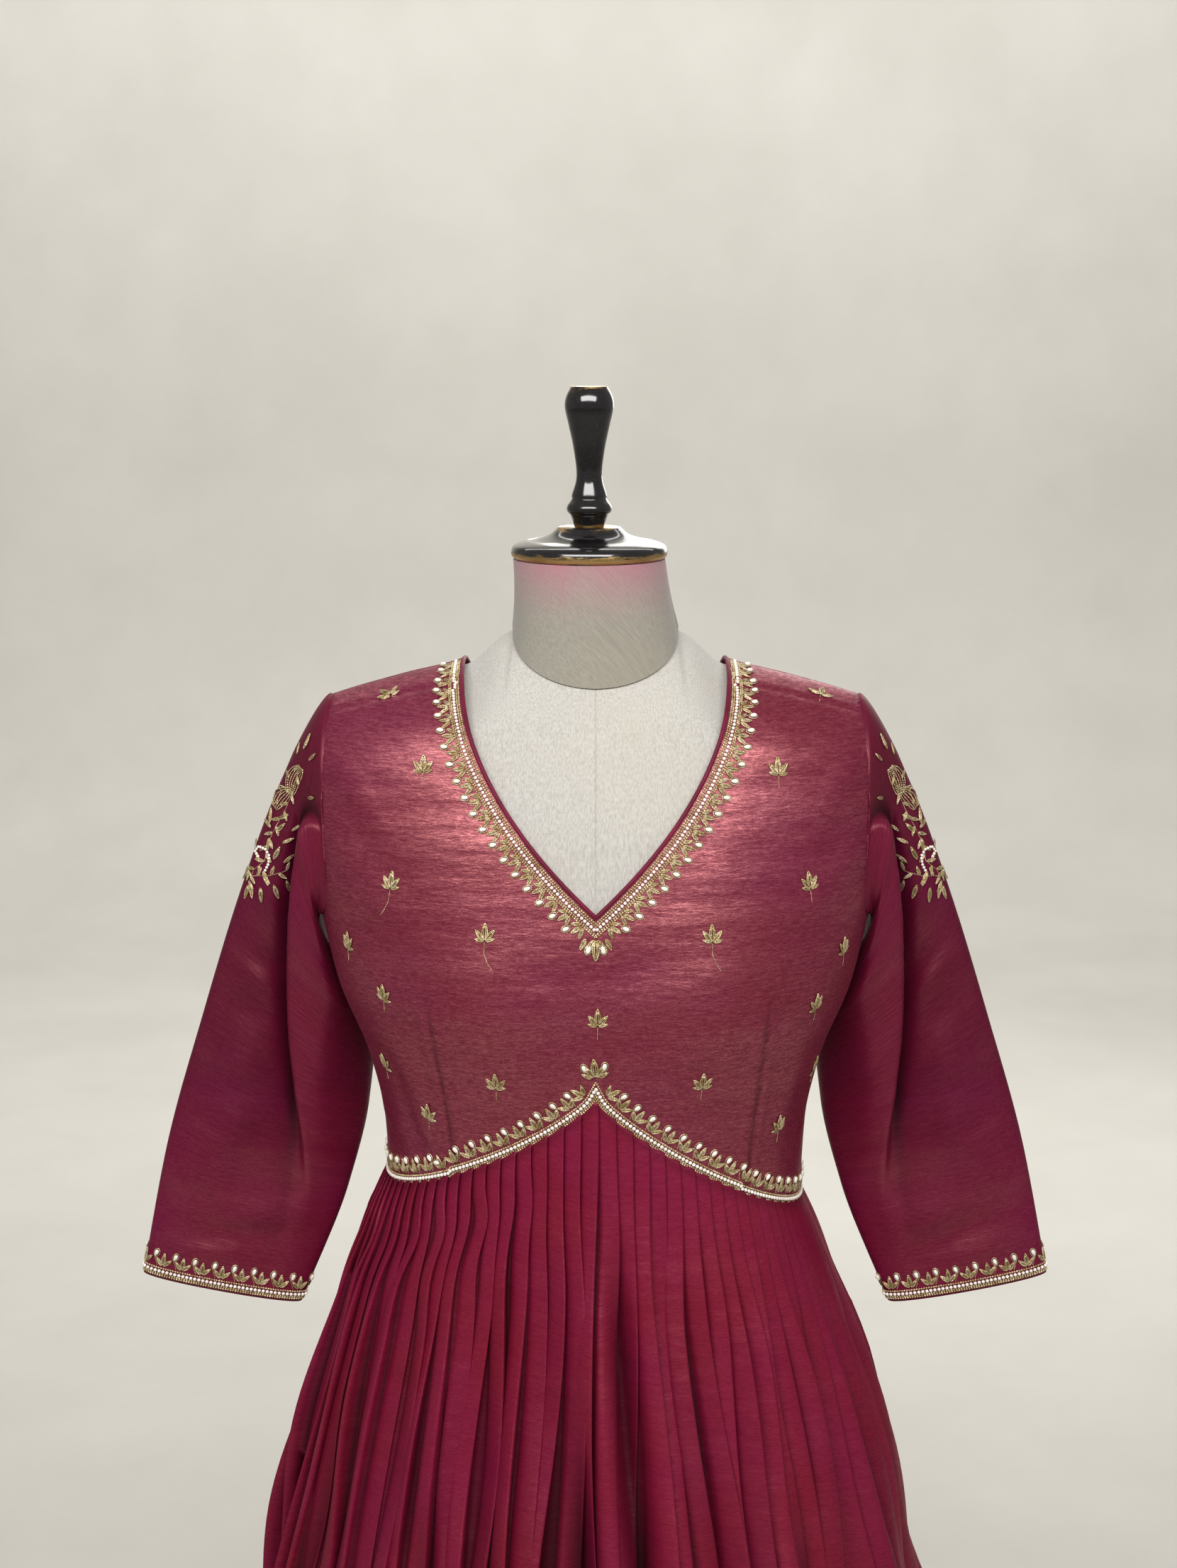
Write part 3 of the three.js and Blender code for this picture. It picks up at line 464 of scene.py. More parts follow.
# ================================================================ dress form: cap and finial
# Two pieces of turned wood in black lacquer. The cap closes the neck, and the finial screws into
# it. The lacquer is rubbed through to gold on the cap's rim and at the finial's foot and top.
CAP_FOOT = SHOULDER_Z - NECK_TOP["drop"] + 0.3
CAP_PROFILE = [(54, 0), (56.2, 2.5), (56.4, 6), (54.5, 9.5), (48, 12), (38, 14), (29, 17),
               (24, 21), (22.5, 22.5)]
FINIAL_PROFILE = [(10.7, 0), (13.4, 8), (15.9, 11), (15.9, 15), (12.6, 20), (12.6, 23), (9.2, 36),
                  (11.2, 55), (14.8, 72), (17.6, 85), (16.6, 93), (13, 100)]
FINIAL_FOOT = CAP_FOOT + 22.8
# Where the gold shows: from how far below to how far above a piece's foot, in metres, how much.
CAP_GOLD = [(-0.004, 0.009, 0.75), (0.016, 0.028, 0.45)]
FINIAL_GOLD = [(-0.004, 0.005, 0.7), (0.092, 0.108, 0.55)]
for name, profile, foot, around, finish, gold, node in (
        ("neck_cap_turned", CAP_PROFILE, CAP_FOOT, 96, "cap_lacquer", CAP_GOLD, "neck_cap"),
        ("finial_turned", FINIAL_PROFILE, FINIAL_FOOT, 72, "finial_lacquer", FINIAL_GOLD,
         "finial")):
    lacquer = black_lacquer(finish, [(foot * MM + low, foot * MM + high, share)
                                     for low, high, share in gold])
    piece = turned(name, profile, lacquer, 5, around, NECK_TOP["x"], foot)
    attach(piece, "root")
    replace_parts(piece, node)

# ================================================================ bodice
# The gown's upper part: a front and a back panel of crimson silk tissue shot with rose gold, both
# lined. They are sewn together at the shoulders and sides. A dart on each side of the front runs
# from the waist seam to the bust, and the cloth pulls into soft drags towards the armholes.
BODICE_SECTIONS = [
    (-34, 212, 60, 66), (0, 216, 70, 76), (60, 218, 94, 94), (120, 214, 114, 102),
    (187, 202, 128, 102), (235, 191, 132, 98), (292, 169, 124, 92), (345, 158, 116, 88),
    (410, 155, 110, 86)]
NECK_HALF = 96.7
NECK_FRONT = dict(drop=165, power=1.9)
NECK_BACK_DROP = 62
SHOULDER_TIP_X = 192
UNDERARM_DROP = 187
ARMHOLE_BOW = math.radians(3)
WAIST = dict(side=396, peak=296, power=0.76, skew=9)
NECK_SHARE, SHOULDER_SHARE = 10 / 21, 15 / 21
LINED_CLOTH = 0.0009
CHEST_RADIUS = 0.17           # of the round that the flat cloth is measured on
BODICE_COLUMNS, BODICE_ROWS = 168, 96
# Soft folds of the front: from (x, drop) to (x, drop), how wide and how high. Troughs are below 0.
FRONT_FOLDS = [
    (-188, 60, -150, 108, 9, 1.3), (-186, 96, -148, 136, 8, -1.2), (-190, 128, -150, 150, 8, 1.1),
    (-184, 150, -120, 176, 9, 1.0), (-186, 172, -135, 196, 8, -1.0),
    (188, 58, 156, 104, 9, 1.1), (188, 98, 150, 138, 9, -1.0), (190, 132, 156, 158, 8, 1.0),
    (186, 160, 150, 186, 8, -0.8), (-176, 205, -128, 232, 9, 1.2), (178, 210, 140, 240, 9, 0.9),
    (-150, 262, -112, 330, 8, 2.2), (-144, 300, -118, 366, 6, -1.8),
    (-158, 330, -128, 348, 6, 1.6), (-140, 318, -104, 352, 6, 1.6),
    (-152, 286, -122, 306, 6, -1.2),
    (150, 268, 132, 344, 8, 1.4), (152, 306, 138, 380, 7, -1.2), (150, 350, 126, 372, 6, 1.0),
    (-72, 250, 70, 246, 16, -1.6), (-60, 214, -20, 226, 9, 0.7), (60, 216, 16, 228, 9, 0.7),
    (-96, 60, -60, 120, 10, -0.7), (98, 66, 70, 128, 10, -0.7),
    (-150, 24, -110, 60, 10, 0.8), (152, 26, 112, 64, 10, 0.8)]
BACK_FOLDS = [
    (-180, 60, -120, 96, 12, 1.2), (180, 64, 126, 98, 12, 1.2), (-182, 120, -118, 150, 12, -1.1),
    (182, 118, 120, 156, 12, -1.1), (-150, 250, -80, 300, 12, 1.5), (148, 262, 84, 316, 12, 1.5),
    (-60, 330, 60, 336, 14, -1.2), (-70, 362, 72, 356, 10, 1.1), (-150, 330, -84, 372, 10, -1.3),
    (150, 336, 90, 376, 10, -1.3), (0, 80, 0, 200, 26, -1.4)]
DARTS = [(-121, 213, -99, 362), (124, 215, 110, 364)]
bodice_sections = curves(BODICE_SECTIONS)


def waist_drop(phi, side):
    if side == BACK:
        return WAIST["side"] + WAIST["skew"] * np.sin(phi)
    return (WAIST["peak"] + (WAIST["side"] - WAIST["peak"]) * np.abs(np.sin(phi)) ** WAIST["power"]
            + WAIST["skew"] * np.sin(phi))


tip_drop = float(gown_ridge(SHOULDER_TIP_X))
tip_angle = float(angle_at(SHOULDER_TIP_X, tip_drop, bodice_sections))


def armhole_at(s):
    drop = tip_drop + (UNDERARM_DROP - tip_drop) * np.sin(s * QUARTER)
    bow = ARMHOLE_BOW * np.sin(s * math.pi)
    return tip_angle + bow + (QUARTER - tip_angle - bow) * s ** 4, drop


def neckline_at(t, side):
    if side == FRONT:
        drop, half = NECK_FRONT["drop"] * t, NECK_HALF * (1 - t ** NECK_FRONT["power"])
    else:
        drop, half = NECK_BACK_DROP * t, NECK_HALF * np.sqrt(np.clip(1 - t * t, 0, 1))
    return angle_at(half, drop, bodice_sections), drop


def top_edge(u, side):
    neck = neckline_at(np.clip(1 - u / NECK_SHARE, 0, 1), side)
    along = np.clip((u - NECK_SHARE) / (SHOULDER_SHARE - NECK_SHARE), 0, 1)
    x = mix(NECK_HALF, SHOULDER_TIP_X, along)
    shoulder = angle_at(x, gown_ridge(x), bodice_sections), gown_ridge(x)
    armhole = armhole_at(np.clip((u - SHOULDER_SHARE) / (1 - SHOULDER_SHARE), 0, 1))
    which = [u <= NECK_SHARE, u <= SHOULDER_SHARE]
    return [np.select(which, pair[:2], pair[2]) for pair in zip(neck, shoulder, armhole)]


def bodice_place(across, rise, side):
    u = np.abs(across)
    top_phi, top_drop = top_edge(u, side)
    foot = across * QUARTER
    phi = mix(foot, np.sign(across) * top_phi, rise ** 2)
    return phi, mix(waist_drop(foot, side), top_drop, rise)


def outward(points, columns, rows, guess):
    """Unit normals of a grid of points, turned to the side that guess points to."""
    grid = points.reshape(rows + 1, columns + 1, 3)
    normal = np.cross(np.gradient(grid, axis=1), np.gradient(grid, axis=0)).reshape(-1, 3)
    normal /= np.maximum(np.linalg.norm(normal, axis=1, keepdims=True), 1e-9)
    return normal * np.sign(np.sum(normal * guess, axis=1, keepdims=True) + 1e-12)


def folds_at(x, drop, table):
    """How far a cloth stands out at each point, from a table of soft folds."""
    out = np.zeros_like(x)
    for x0, d0, x1, d1, width, height in table:
        ax, ad = x1 - x0, d1 - d0
        length = math.hypot(ax, ad)
        t = ((x - x0) * ax + (drop - d0) * ad) / length ** 2
        away = np.abs((x - x0) * ad - (drop - d0) * ax) / length
        sway = 0.25 * width * np.sin(2.2 * math.pi * t + x0)
        out += height * bell((away + 0.2 * sway) / width) * bell((t - 0.5) / 0.42)
    return out


def from_darts(x, drop):
    """For each dart of the front, how far each point lies from its stitched line, and how far
    the dart is taken in there."""
    for x0, d0, x1, d1 in DARTS:
        t = np.clip((drop - d0) / (d1 - d0), -0.2, 1.3)
        yield x - mix(x0, x1, t), smooth(t / 0.3)


def dart_painted_shade(points, side):
    """Painted shade along the stitched lines of the front's darts, which lie in narrow creases."""
    x, drop = points[:, 0] / MM, SHOULDER_Z - points[:, 2] / MM
    depth = np.zeros_like(x)
    for away, taken_in in from_darts(x, drop):
        depth += 0.55 * bell(away / 1.5) * taken_in
    return depth * (side == FRONT)


def bodice_point(u, v, side):
    """A panel's surface: u from side seam to side seam, v from the waist seam to the top edge."""
    across = 2 * u - 1
    rise = 1 - (1 - v) ** 1.7
    phi, drop = bodice_place(across, rise, side)
    points = torso_point(phi, drop, side, bodice_sections, gown_ridge)
    normal = outward(points, BODICE_COLUMNS, BODICE_ROWS, np.stack(
        [points[:, 0] * 0.4, np.full_like(u, side * 60.0), np.full_like(u, 20.0)], axis=-1))
    x = points[:, 0]
    edge = smooth((1 - np.abs(across)) / 0.12) * smooth(rise / 0.07) * smooth((1 - rise) / 0.10)
    out = folds_at(x, drop, FRONT_FOLDS if side == FRONT else BACK_FOLDS)
    if side == FRONT:
        for away, taken_in in from_darts(x, drop):
            out -= 1.1 * bell(away / 1.6) * taken_in
            out += 1.0 * bell((np.abs(away) - 4) / 4.5) * taken_in
        yoke = np.abs(drop - gown_ridge(np.abs(x)) - 9.5)
        on_shoulder = (np.abs(x) > 100) & (np.abs(x) < 190)
        seam_line = on_shoulder * (0.5 * bell((yoke - 2.4) / 1.6) - 0.8 * bell(yoke / 1.3))
    else:
        out -= 1.0 * bell(x / 1.6) * smooth((drop - 64) / 12)
        seam_line = 0.0
    points = points + normal * (out * edge + seam_line)[:, None]
    points[:, 1] = side * np.maximum(side * points[:, 1], 0.02)
    return points


def tissue_silk(name, gold=0.19, base=(0.125, 0.0035, 0.022), gold_tint=(0.98, 0.38, 0.38),
                streaks=0.5, patches=0.0):
    """Silk tissue: a crimson warp and a flat rose-gold weft. The weft's uneven thickness shows as
    short level streaks, and its metal gives the broad soft gloss. Shade from the CreaseMap
    layer is painted in: darker colour and less metal there."""
    material = new_material(name)
    cloth = wire(material, "UVMap", uv_map="UVMap").outputs["UV"]
    slub = noise(material, mapped(material, cloth, (210, 900, 1)), 1.0, 3, 0.6)
    streak = noise(material, mapped(material, cloth, (70, 420, 1)), 1.0, 4, 0.62)
    ripple = noise(material, mapped(material, cloth, (9, 36, 1)), 1.0, 3, 0.5)
    fine = noise(material, mapped(material, cloth, (700, 1400, 1)), 1.0, 2, 0.5)
    cloud = noise(material, mapped(material, cloth, (7, 9, 1)), 1.0, 4, 0.55)
    deep = tuple(0.45 * c for c in base)
    magenta = (base[0] * 1.05, base[1] * 0.9, base[2] * 1.7)
    colour = blended(material, ramp(material, cloud, (0.40, 0.0), (0.66, 0.8)), base, magenta)
    threads = sums(material, "ADD", sums(material, "MULTIPLY", slub, 0.6),
                   sums(material, "MULTIPLY", streak, 0.4))
    colour = blended(material, ramp(material, threads, (0.38, streaks), (0.54, 0.0)), colour, deep)
    # Painted shade: creases here reads the CreaseMap layer and darkens the colour towards a tenth
    # of the base in pleat gaps, fold grooves, darts, the underarm and under the seams.
    creases = wire(material, "SeparateXYZ", links={
        "Vector": wire(material, "UVMap", uv_map="CreaseMap").outputs["UV"]}).outputs["X"]
    colour = blended(material, creases, colour, tuple(0.10 * c for c in base))
    silk = wire(material, "BsdfPrincipled",
                {"Roughness": 0.55, "Specular IOR Level": 0.10, "Sheen Weight": 0.05,
                 "Sheen Roughness": 0.4, "Sheen Tint": (0.9, 0.15, 0.30, 1)},
                {"Base Color": colour})
    metal = wire(material, "BsdfPrincipled",
                 {"Metallic": 1.0, "Roughness": 0.41, "Anisotropic": 0.2},
                 {"Base Color": blended(material, ramp(material, fine, (0.35, 0.0), (0.65, 1.0)),
                                        tuple(0.6 * c for c in gold_tint), gold_tint)})
    glint = sums(material, "ADD", threads, sums(material, "MULTIPLY", ripple, 0.25))
    share = ramp(material, sums(material, "ADD", glint, sums(material, "MULTIPLY", fine, 0.12)),
                 (0.58, gold * 0.5), (0.70, gold), (0.82, min(1.0, gold * 1.9)))
    if patches:
        sheen = noise(material, mapped(material, cloth, (6, 16, 1)), 1.0, 3, 0.5)
        share = sums(material, "ADD", share, ramp(material, sheen, (0.5, 0.0), (0.72, patches)))
    # Painted shade: the same layer takes the metal gloss away where it darkens the colour.
    share = sums(material, "MULTIPLY", share, sums(material, "SUBTRACT", 1.0, creases))
    height = sums(material, "ADD", threads, sums(material, "MULTIPLY", fine, 0.25))
    weave = wire(material, "Bump", {"Strength": 0.35, "Distance": 0.0007}, {"Height": height})
    normal = wire(material, "Bump", {"Strength": 0.4, "Distance": 0.006},
                  {"Height": ripple, "Normal": weave.outputs[0]}).outputs[0]
    for shader in (silk, metal):
        material.node_tree.links.new(normal, shader.inputs["Normal"])
    both = wire(material, "MixShader", links={0: share, 1: silk.outputs[0], 2: metal.outputs[0]})
    return finish_material(material, both.outputs[0])


def walled(piece, thickness):
    """The cloth's thickness, laid on the inside of its outer face."""
    wall = piece.modifiers.new("cloth_thickness", "SOLIDIFY")
    wall.thickness = thickness
    wall.offset = -1.0
    wall.use_even_offset = False
    return piece


def point_out(bm, outside):
    """Turns every face of an open cloth to the side where outside(place) points."""
    bm.normal_update()
    score = sum(face.normal.dot(outside(face.calc_center_median())) * face.calc_area()
                for face in bm.faces)
    if score < 0:
        bmesh.ops.reverse_faces(bm, faces=bm.faces)
    bm.normal_update()


bodice_silk = tissue_silk("bodice_tissue_silk")
bodice_trees = {}
for side, name, node in ((FRONT, "bodice_front_panel", "bodice_front"),
                         (BACK, "bodice_back_panel", "bodice_back")):
    bm = bmesh.new()
    # The front's darts get painted shade along their stitched lines.
    shaped_grid(bm, BODICE_COLUMNS, BODICE_ROWS,
                lambda u, v, s=side: bodice_point(u, v, s),
                cloth=lambda u, v, p: (CHEST_RADIUS * np.arctan2(p[:, 0], np.abs(p[:, 1]) + 0.03),
                                       p[:, 2]),
                depth=lambda u, v, p, s=side: dart_painted_shade(p, s))
    point_out(bm, lambda p: Vector((p.x, p.y, 0)))
    bodice_trees[side] = BVHTree.FromBMesh(bm)
    panel = walled(link_mesh(name, mesh_from(bm, name), bodice_silk), LINED_CLOTH)
    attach(panel, "root")
    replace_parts(panel, node)

# ================================================================ skirt
# Two half circles of the same silk, each laid in 42 knife pleats that all face the same way round
# the body. The pleats are sewn flat into the arched waist seam and open out to the hem, which
# hangs free just above the floor.
PLEATS = 21                   # of each quarter
HEM_DROP = 1368
SKIRT_LENGTH = 1072           # below the waist seam's peak
SHORTENED_FROM = 420          # where the sides begin to lose what is too long for the level hem
SKIRT_SWAY = 4
HEM_WAVE = dict(height=9, count=5)
SKIRT_CLOTH = 0.0007
SKIRT_WEFT = 1.6              # the length of weft across a panel, halfway down
FLARE = [(0, 0, 0), (45, 19, 3), (94, 35, 10), (187, 61, 30), (306, 87, 60), (640, 158, 138),
         (1072, 240, 226)]    # below the seam, out at the side, out in front
# One pleat across its width: where each point lies and how high it stands, sewn and at the hem.
SEWN_PLEAT = [(0, -0.5), (0.12, 0.0), (0.36, 0.38), (0.62, 0.62), (0.86, 0.82), (1.06, 0.95),
              (1.15, 1.0), (1.19, 0.90), (1.15, 0.55), (1.04, -0.15)]
OPEN_PLEAT = [(0, 0), (0.09, 0.22), (0.19, 0.55), (0.29, 0.84), (0.40, 0.99), (0.52, 1.0),
              (0.64, 0.86), (0.75, 0.60), (0.86, 0.30), (0.94, 0.08)]
PLEAT_HEIGHT = [(-4, 1.2), (0, 2.3), (40, 3.2), (120, 4.8), (300, 7.6), (600, 10.5), (1072, 7)]
PLEAT_OPENING = [(-4, 0), (60, 0.01), (300, 0.10), (640, 0.55), (1072, 1.0)]
SKIRT_ROWS = 80
SEAM_TUCK = 4.0               # how far the cloth runs on above the seam
PLEAT_PAINTED_SHADE = [0.60, 0.20, 0.03, 0, 0, 0, 0, 0.02, 0.2, 0.70]     # painted shade across a pleat, darkest in the gaps at its two edges
# Deep folds that part the front pleats: at which pleat, from how far below the seam, how deep.
DEEP_FOLDS = [(22.5, 60, 15), (20.5, 190, 16), (12.6, 200, 10), (31.4, 190, 11), (36.5, 130, 9),
              (5.4, 150, 9), (16.7, 260, 9), (27.2, 240, 10), (9.2, 330, 8), (34.0, 360, 8)]
# Broad waves that run down through groups of pleats: height, pleats a wave, drop a wave, start.
SKIRT_SAGS = [(4.6, 6.3, 900, 0.6), (3.2, 3.9, -620, 2.1), (2.6, 9.5, 410, 4.0)]
random_table = np.random.default_rng(42)
PLEAT_DRIFT = random_table.uniform(-1, 1, (2, 2 * PLEATS + 3, 6))

flare_side, flare_front = curves(FLARE)
pleat_height = curve(*zip(*PLEAT_HEIGHT))
pleat_opening = curve(*zip(*PLEAT_OPENING))


def skirt_point(u, v, side):
    """u runs round the half skirt the way that the pleats face, v from the waist seam to the hem.
    Gives the points, and how much painted shade each gets."""
    which = 0 if side == FRONT else 1
    points_a_pleat = len(SEWN_PLEAT)
    column = np.round(u * 2 * PLEATS * points_a_pleat).astype(int)
    pleat = np.minimum(column // points_a_pleat, 2 * PLEATS)
    k = column % points_a_pleat
    sewn, opened = np.array(SEWN_PLEAT), np.array(OPEN_PLEAT)
    below = mix(-SEAM_TUCK, float(SKIRT_LENGTH), v ** 1.55)
    opening = pleat_opening(below)
    own = PLEAT_DRIFT[which][pleat]
    along = mix(sewn[k, 0], opened[k, 0], opening)
    stand = mix(sewn[k, 1], opened[k, 1], opening)
    loose = smooth((below - 15) / 110)
    drift = 0.44 * loose * (own[:, 0] * np.sin(below / 62 + 3 * own[:, 1])
                            + 0.8 * own[:, 2] * np.sin(below / 150 + 2 * own[:, 0]))
    drift += 0.45 * smooth(below / 320) * own[:, 3]
    left = smooth((19 - pleat) / 9) if side == FRONT else 0.3
    kink = bell((below - 40) / 19) - 0.4 * bell((below - 78) / 26)
    drift += (0.40 + 0.26 * own[:, 4]) * kink * left
    fixed = (pleat == 0) & (k == 0) | (pleat >= 2 * PLEATS)
    share = np.clip(pleat + along + np.where(fixed, 0, drift), 0, 2 * PLEATS)
    turn = -side * QUARTER * (share / PLEATS - 1)
    seam_drop = waist_drop(turn, side)
    too_long = seam_drop + SKIRT_LENGTH - HEM_DROP
    shortened = smooth((below - SHORTENED_FROM) / (SKIRT_LENGTH - SHORTENED_FROM))
    drop = seam_drop + below - too_long * shortened
    seam = torso_point(turn, seam_drop, side, bodice_sections, gown_ridge)
    ahead = np.cos(turn) ** 2 if side == FRONT else np.zeros_like(turn)
    fall = np.clip((drop - seam_drop) / (HEM_DROP - seam_drop), 0, 1)
    out = mix(flare_side(np.maximum(below, 0)), flare_front(np.maximum(below, 0)), ahead)
    wave = np.sin(2 * HEM_WAVE["count"] * turn + side) * np.cos(turn) ** 2
    out = out + HEM_WAVE["height"] * fall * wave
    tuck = -2.6 * smooth(-below / 3.5)
    lively = np.maximum(0.15, 1 + 0.95 * own[:, 5] * smooth((below - 10) / 90))
    lively = lively * (1 + 0.35 * np.sin(below / 48 + 3 * own[:, 2]) * loose)
    calm = 1 - 0.65 * smooth((share - 27) / 8) * bell((below - 35) / 55) * (side == FRONT)
    height = pleat_height(below) * stand * lively * calm
    puff = 1.6 * bell((below - 26) / 18) * left * (0.5 + 0.5 * own[:, 4])
    sag = sum(rise * np.sin(2 * math.pi * (share / period + below / run) + shift)
              for rise, period, run, shift in SKIRT_SAGS) * smooth((below - 40) / 260)
    folds = sag * (1 - 0.6 * smooth((below - 500) / 450))
    # Painted shade: dark gaps at the pleats' edges, more down some pleats at random, a dark band
    # just under the waist seam.
    shown = smooth(below / 12) * np.clip(0.35 + 0.65 * lively * calm, 0, 1.2)
    depth = np.array(PLEAT_PAINTED_SHADE)[k] * shown
    depth = depth + 0.10 * (own[:, 1] + 1) * smooth(below / 300)
    depth = depth + 0.35 * bell((below - 1) / 5)
    for at_pleat, start, deep in (DEEP_FOLDS if side == FRONT else DEEP_FOLDS[2:]):
        opened_up = smooth((below - start) / 130)
        winding = at_pleat + 0.35 * np.sin(below / 85 + start)
        folds -= deep * bell((share - winding) / 0.62) * opened_up
        folds += 0.4 * deep * bell((share - winding + 1.5) / 1.0) * opened_up
        # Painted shade down the middle of each deep fold.
        depth = depth + deep / 22 * bell((share - winding) / 0.5) * opened_up
    reach = out + np.maximum(height + puff * stand + folds, -0.8 * out - 1.5) + tuck
    reach = np.where(fixed, out + tuck, reach)
    sway = SKIRT_SWAY * smooth(2 * fall)
    x = seam[:, 0] + reach * np.sin(turn) + sway
    y = seam[:, 1] + side * reach * np.cos(turn)
    y = side * np.maximum(side * y, 0.02)
    return np.stack([x, y, SHOULDER_Z - drop], axis=-1), depth


skirt_silk = tissue_silk("skirt_tissue_silk", gold=0.055, base=(0.172, 0.005, 0.024),
                         gold_tint=(0.86, 0.24, 0.26), streaks=0.3, patches=0.05)
for side, name, node in ((FRONT, "skirt_front_pleats", "skirt_front"),
                         (BACK, "skirt_back_pleats", "skirt_back")):
    bm = bmesh.new()
    shaped_grid(bm, 2 * PLEATS * len(SEWN_PLEAT), SKIRT_ROWS,
                lambda u, v, s=side: skirt_point(u, v, s)[0],
                cloth=lambda u, v, p: (SKIRT_WEFT * u, p[:, 2]),
                depth=lambda u, v, p, s=side: skirt_point(u, v, s)[1])
    point_out(bm, lambda p: Vector((p.x, p.y, 0)))
    skirt = walled(link_mesh(name, mesh_from(bm, name), skirt_silk), SKIRT_CLOTH)
    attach(skirt, "root")
    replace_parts(skirt, node)

# ================================================================ sleeves
# Set-in sleeves, cut in one piece and sewn round the armholes. They hang flat and empty, with a
# rounded fold of the body-side cloth lying over the outer part, and reach below the elbow.
SLEEVE_EDGES = [              # along, outer x, y and drop, inner x, y and drop, half depth
    (0, 192, 0, 26, 202, 0, 187, 50), (0.06, 209, 0, 48, 204, 12, 200, 50),
    (0.2, 234, 2, 96, 190, 30, 238, 42), (0.4, 266, 3, 180, 169, 38, 292, 32),
    (0.6, 295, 3, 270, 174, 34, 348, 26), (0.8, 324, 2, 368, 190, 22, 412, 22),
    (1, 346, 0, 473, 226, 8, 500, 17)]
SLEEVE_FOLD = [               # along, where it starts across, how far it stands out, how steep
    (0, 0.30, 0, 0.08), (0.06, 0.33, 12, 0.06), (0.2, 0.38, 22, 0.05), (0.35, 0.42, 25, 0.045),
    (0.5, 0.51, 23, 0.05), (0.62, 0.60, 18, 0.06), (0.74, 0.68, 10, 0.10), (0.85, 0.72, 3, 0.16),
    (1, 0.72, 0, 0.2)]
# Dents and ridges of the front: along, across, their reach along and across, height.
SLEEVE_WRINKLES = [
    (0.34, 0.18, 0.03, 0.10, 1.6), (0.44, 0.30, 0.025, 0.14, -2.2), (0.475, 0.28, 0.02, 0.14, 1.8),
    (0.545, 0.22, 0.018, 0.12, -1.2), (0.63, 0.30, 0.05, 0.10, 2.6), (0.72, 0.34, 0.05, 0.12, 3.6),
    (0.80, 0.26, 0.05, 0.12, 2.2), (0.87, 0.58, 0.03, 0.22, 2.0), (0.91, 0.50, 0.02, 0.26, -1.6),
    (0.94, 0.40, 0.02, 0.20, 1.4), (0.22, 0.72, 0.03, 0.12, 1.8), (0.29, 0.78, 0.03, 0.12, -1.8),
    (0.36, 0.80, 0.03, 0.12, 1.6), (0.60, 0.80, 0.03, 0.12, -1.4), (0.12, 0.5, 0.03, 0.2, 1.4)]
SLEEVE_COLUMNS, SLEEVE_ROWS = 176, 104
SLEEVE_FLAT = (0.30, 0.46)    # the sewn part's mean width, and its length
SLEEVE_MIDDLE = 0.24          # where its middle hangs, out from the gown's
sleeve_curves = curves(SLEEVE_EDGES)
fold_at, fold_out, fold_steep = curves(SLEEVE_FOLD)


def unit(vectors):
    return vectors / np.maximum(np.linalg.norm(vectors, axis=-1, keepdims=True), 1e-9)


def armhole_loop(turn):
    """The armhole's seam: 0 at the shoulder tip, a quarter in front, half at the underarm."""
    phi, drop = armhole_at(np.where(turn <= 0.5, 2 * turn, 2 - 2 * turn))
    ahead = torso_point(phi, drop, FRONT, bodice_sections, gown_ridge)
    behind = torso_point(phi, drop, BACK, bodice_sections, gown_ridge)
    return np.where((turn <= 0.5)[..., None], ahead, behind)


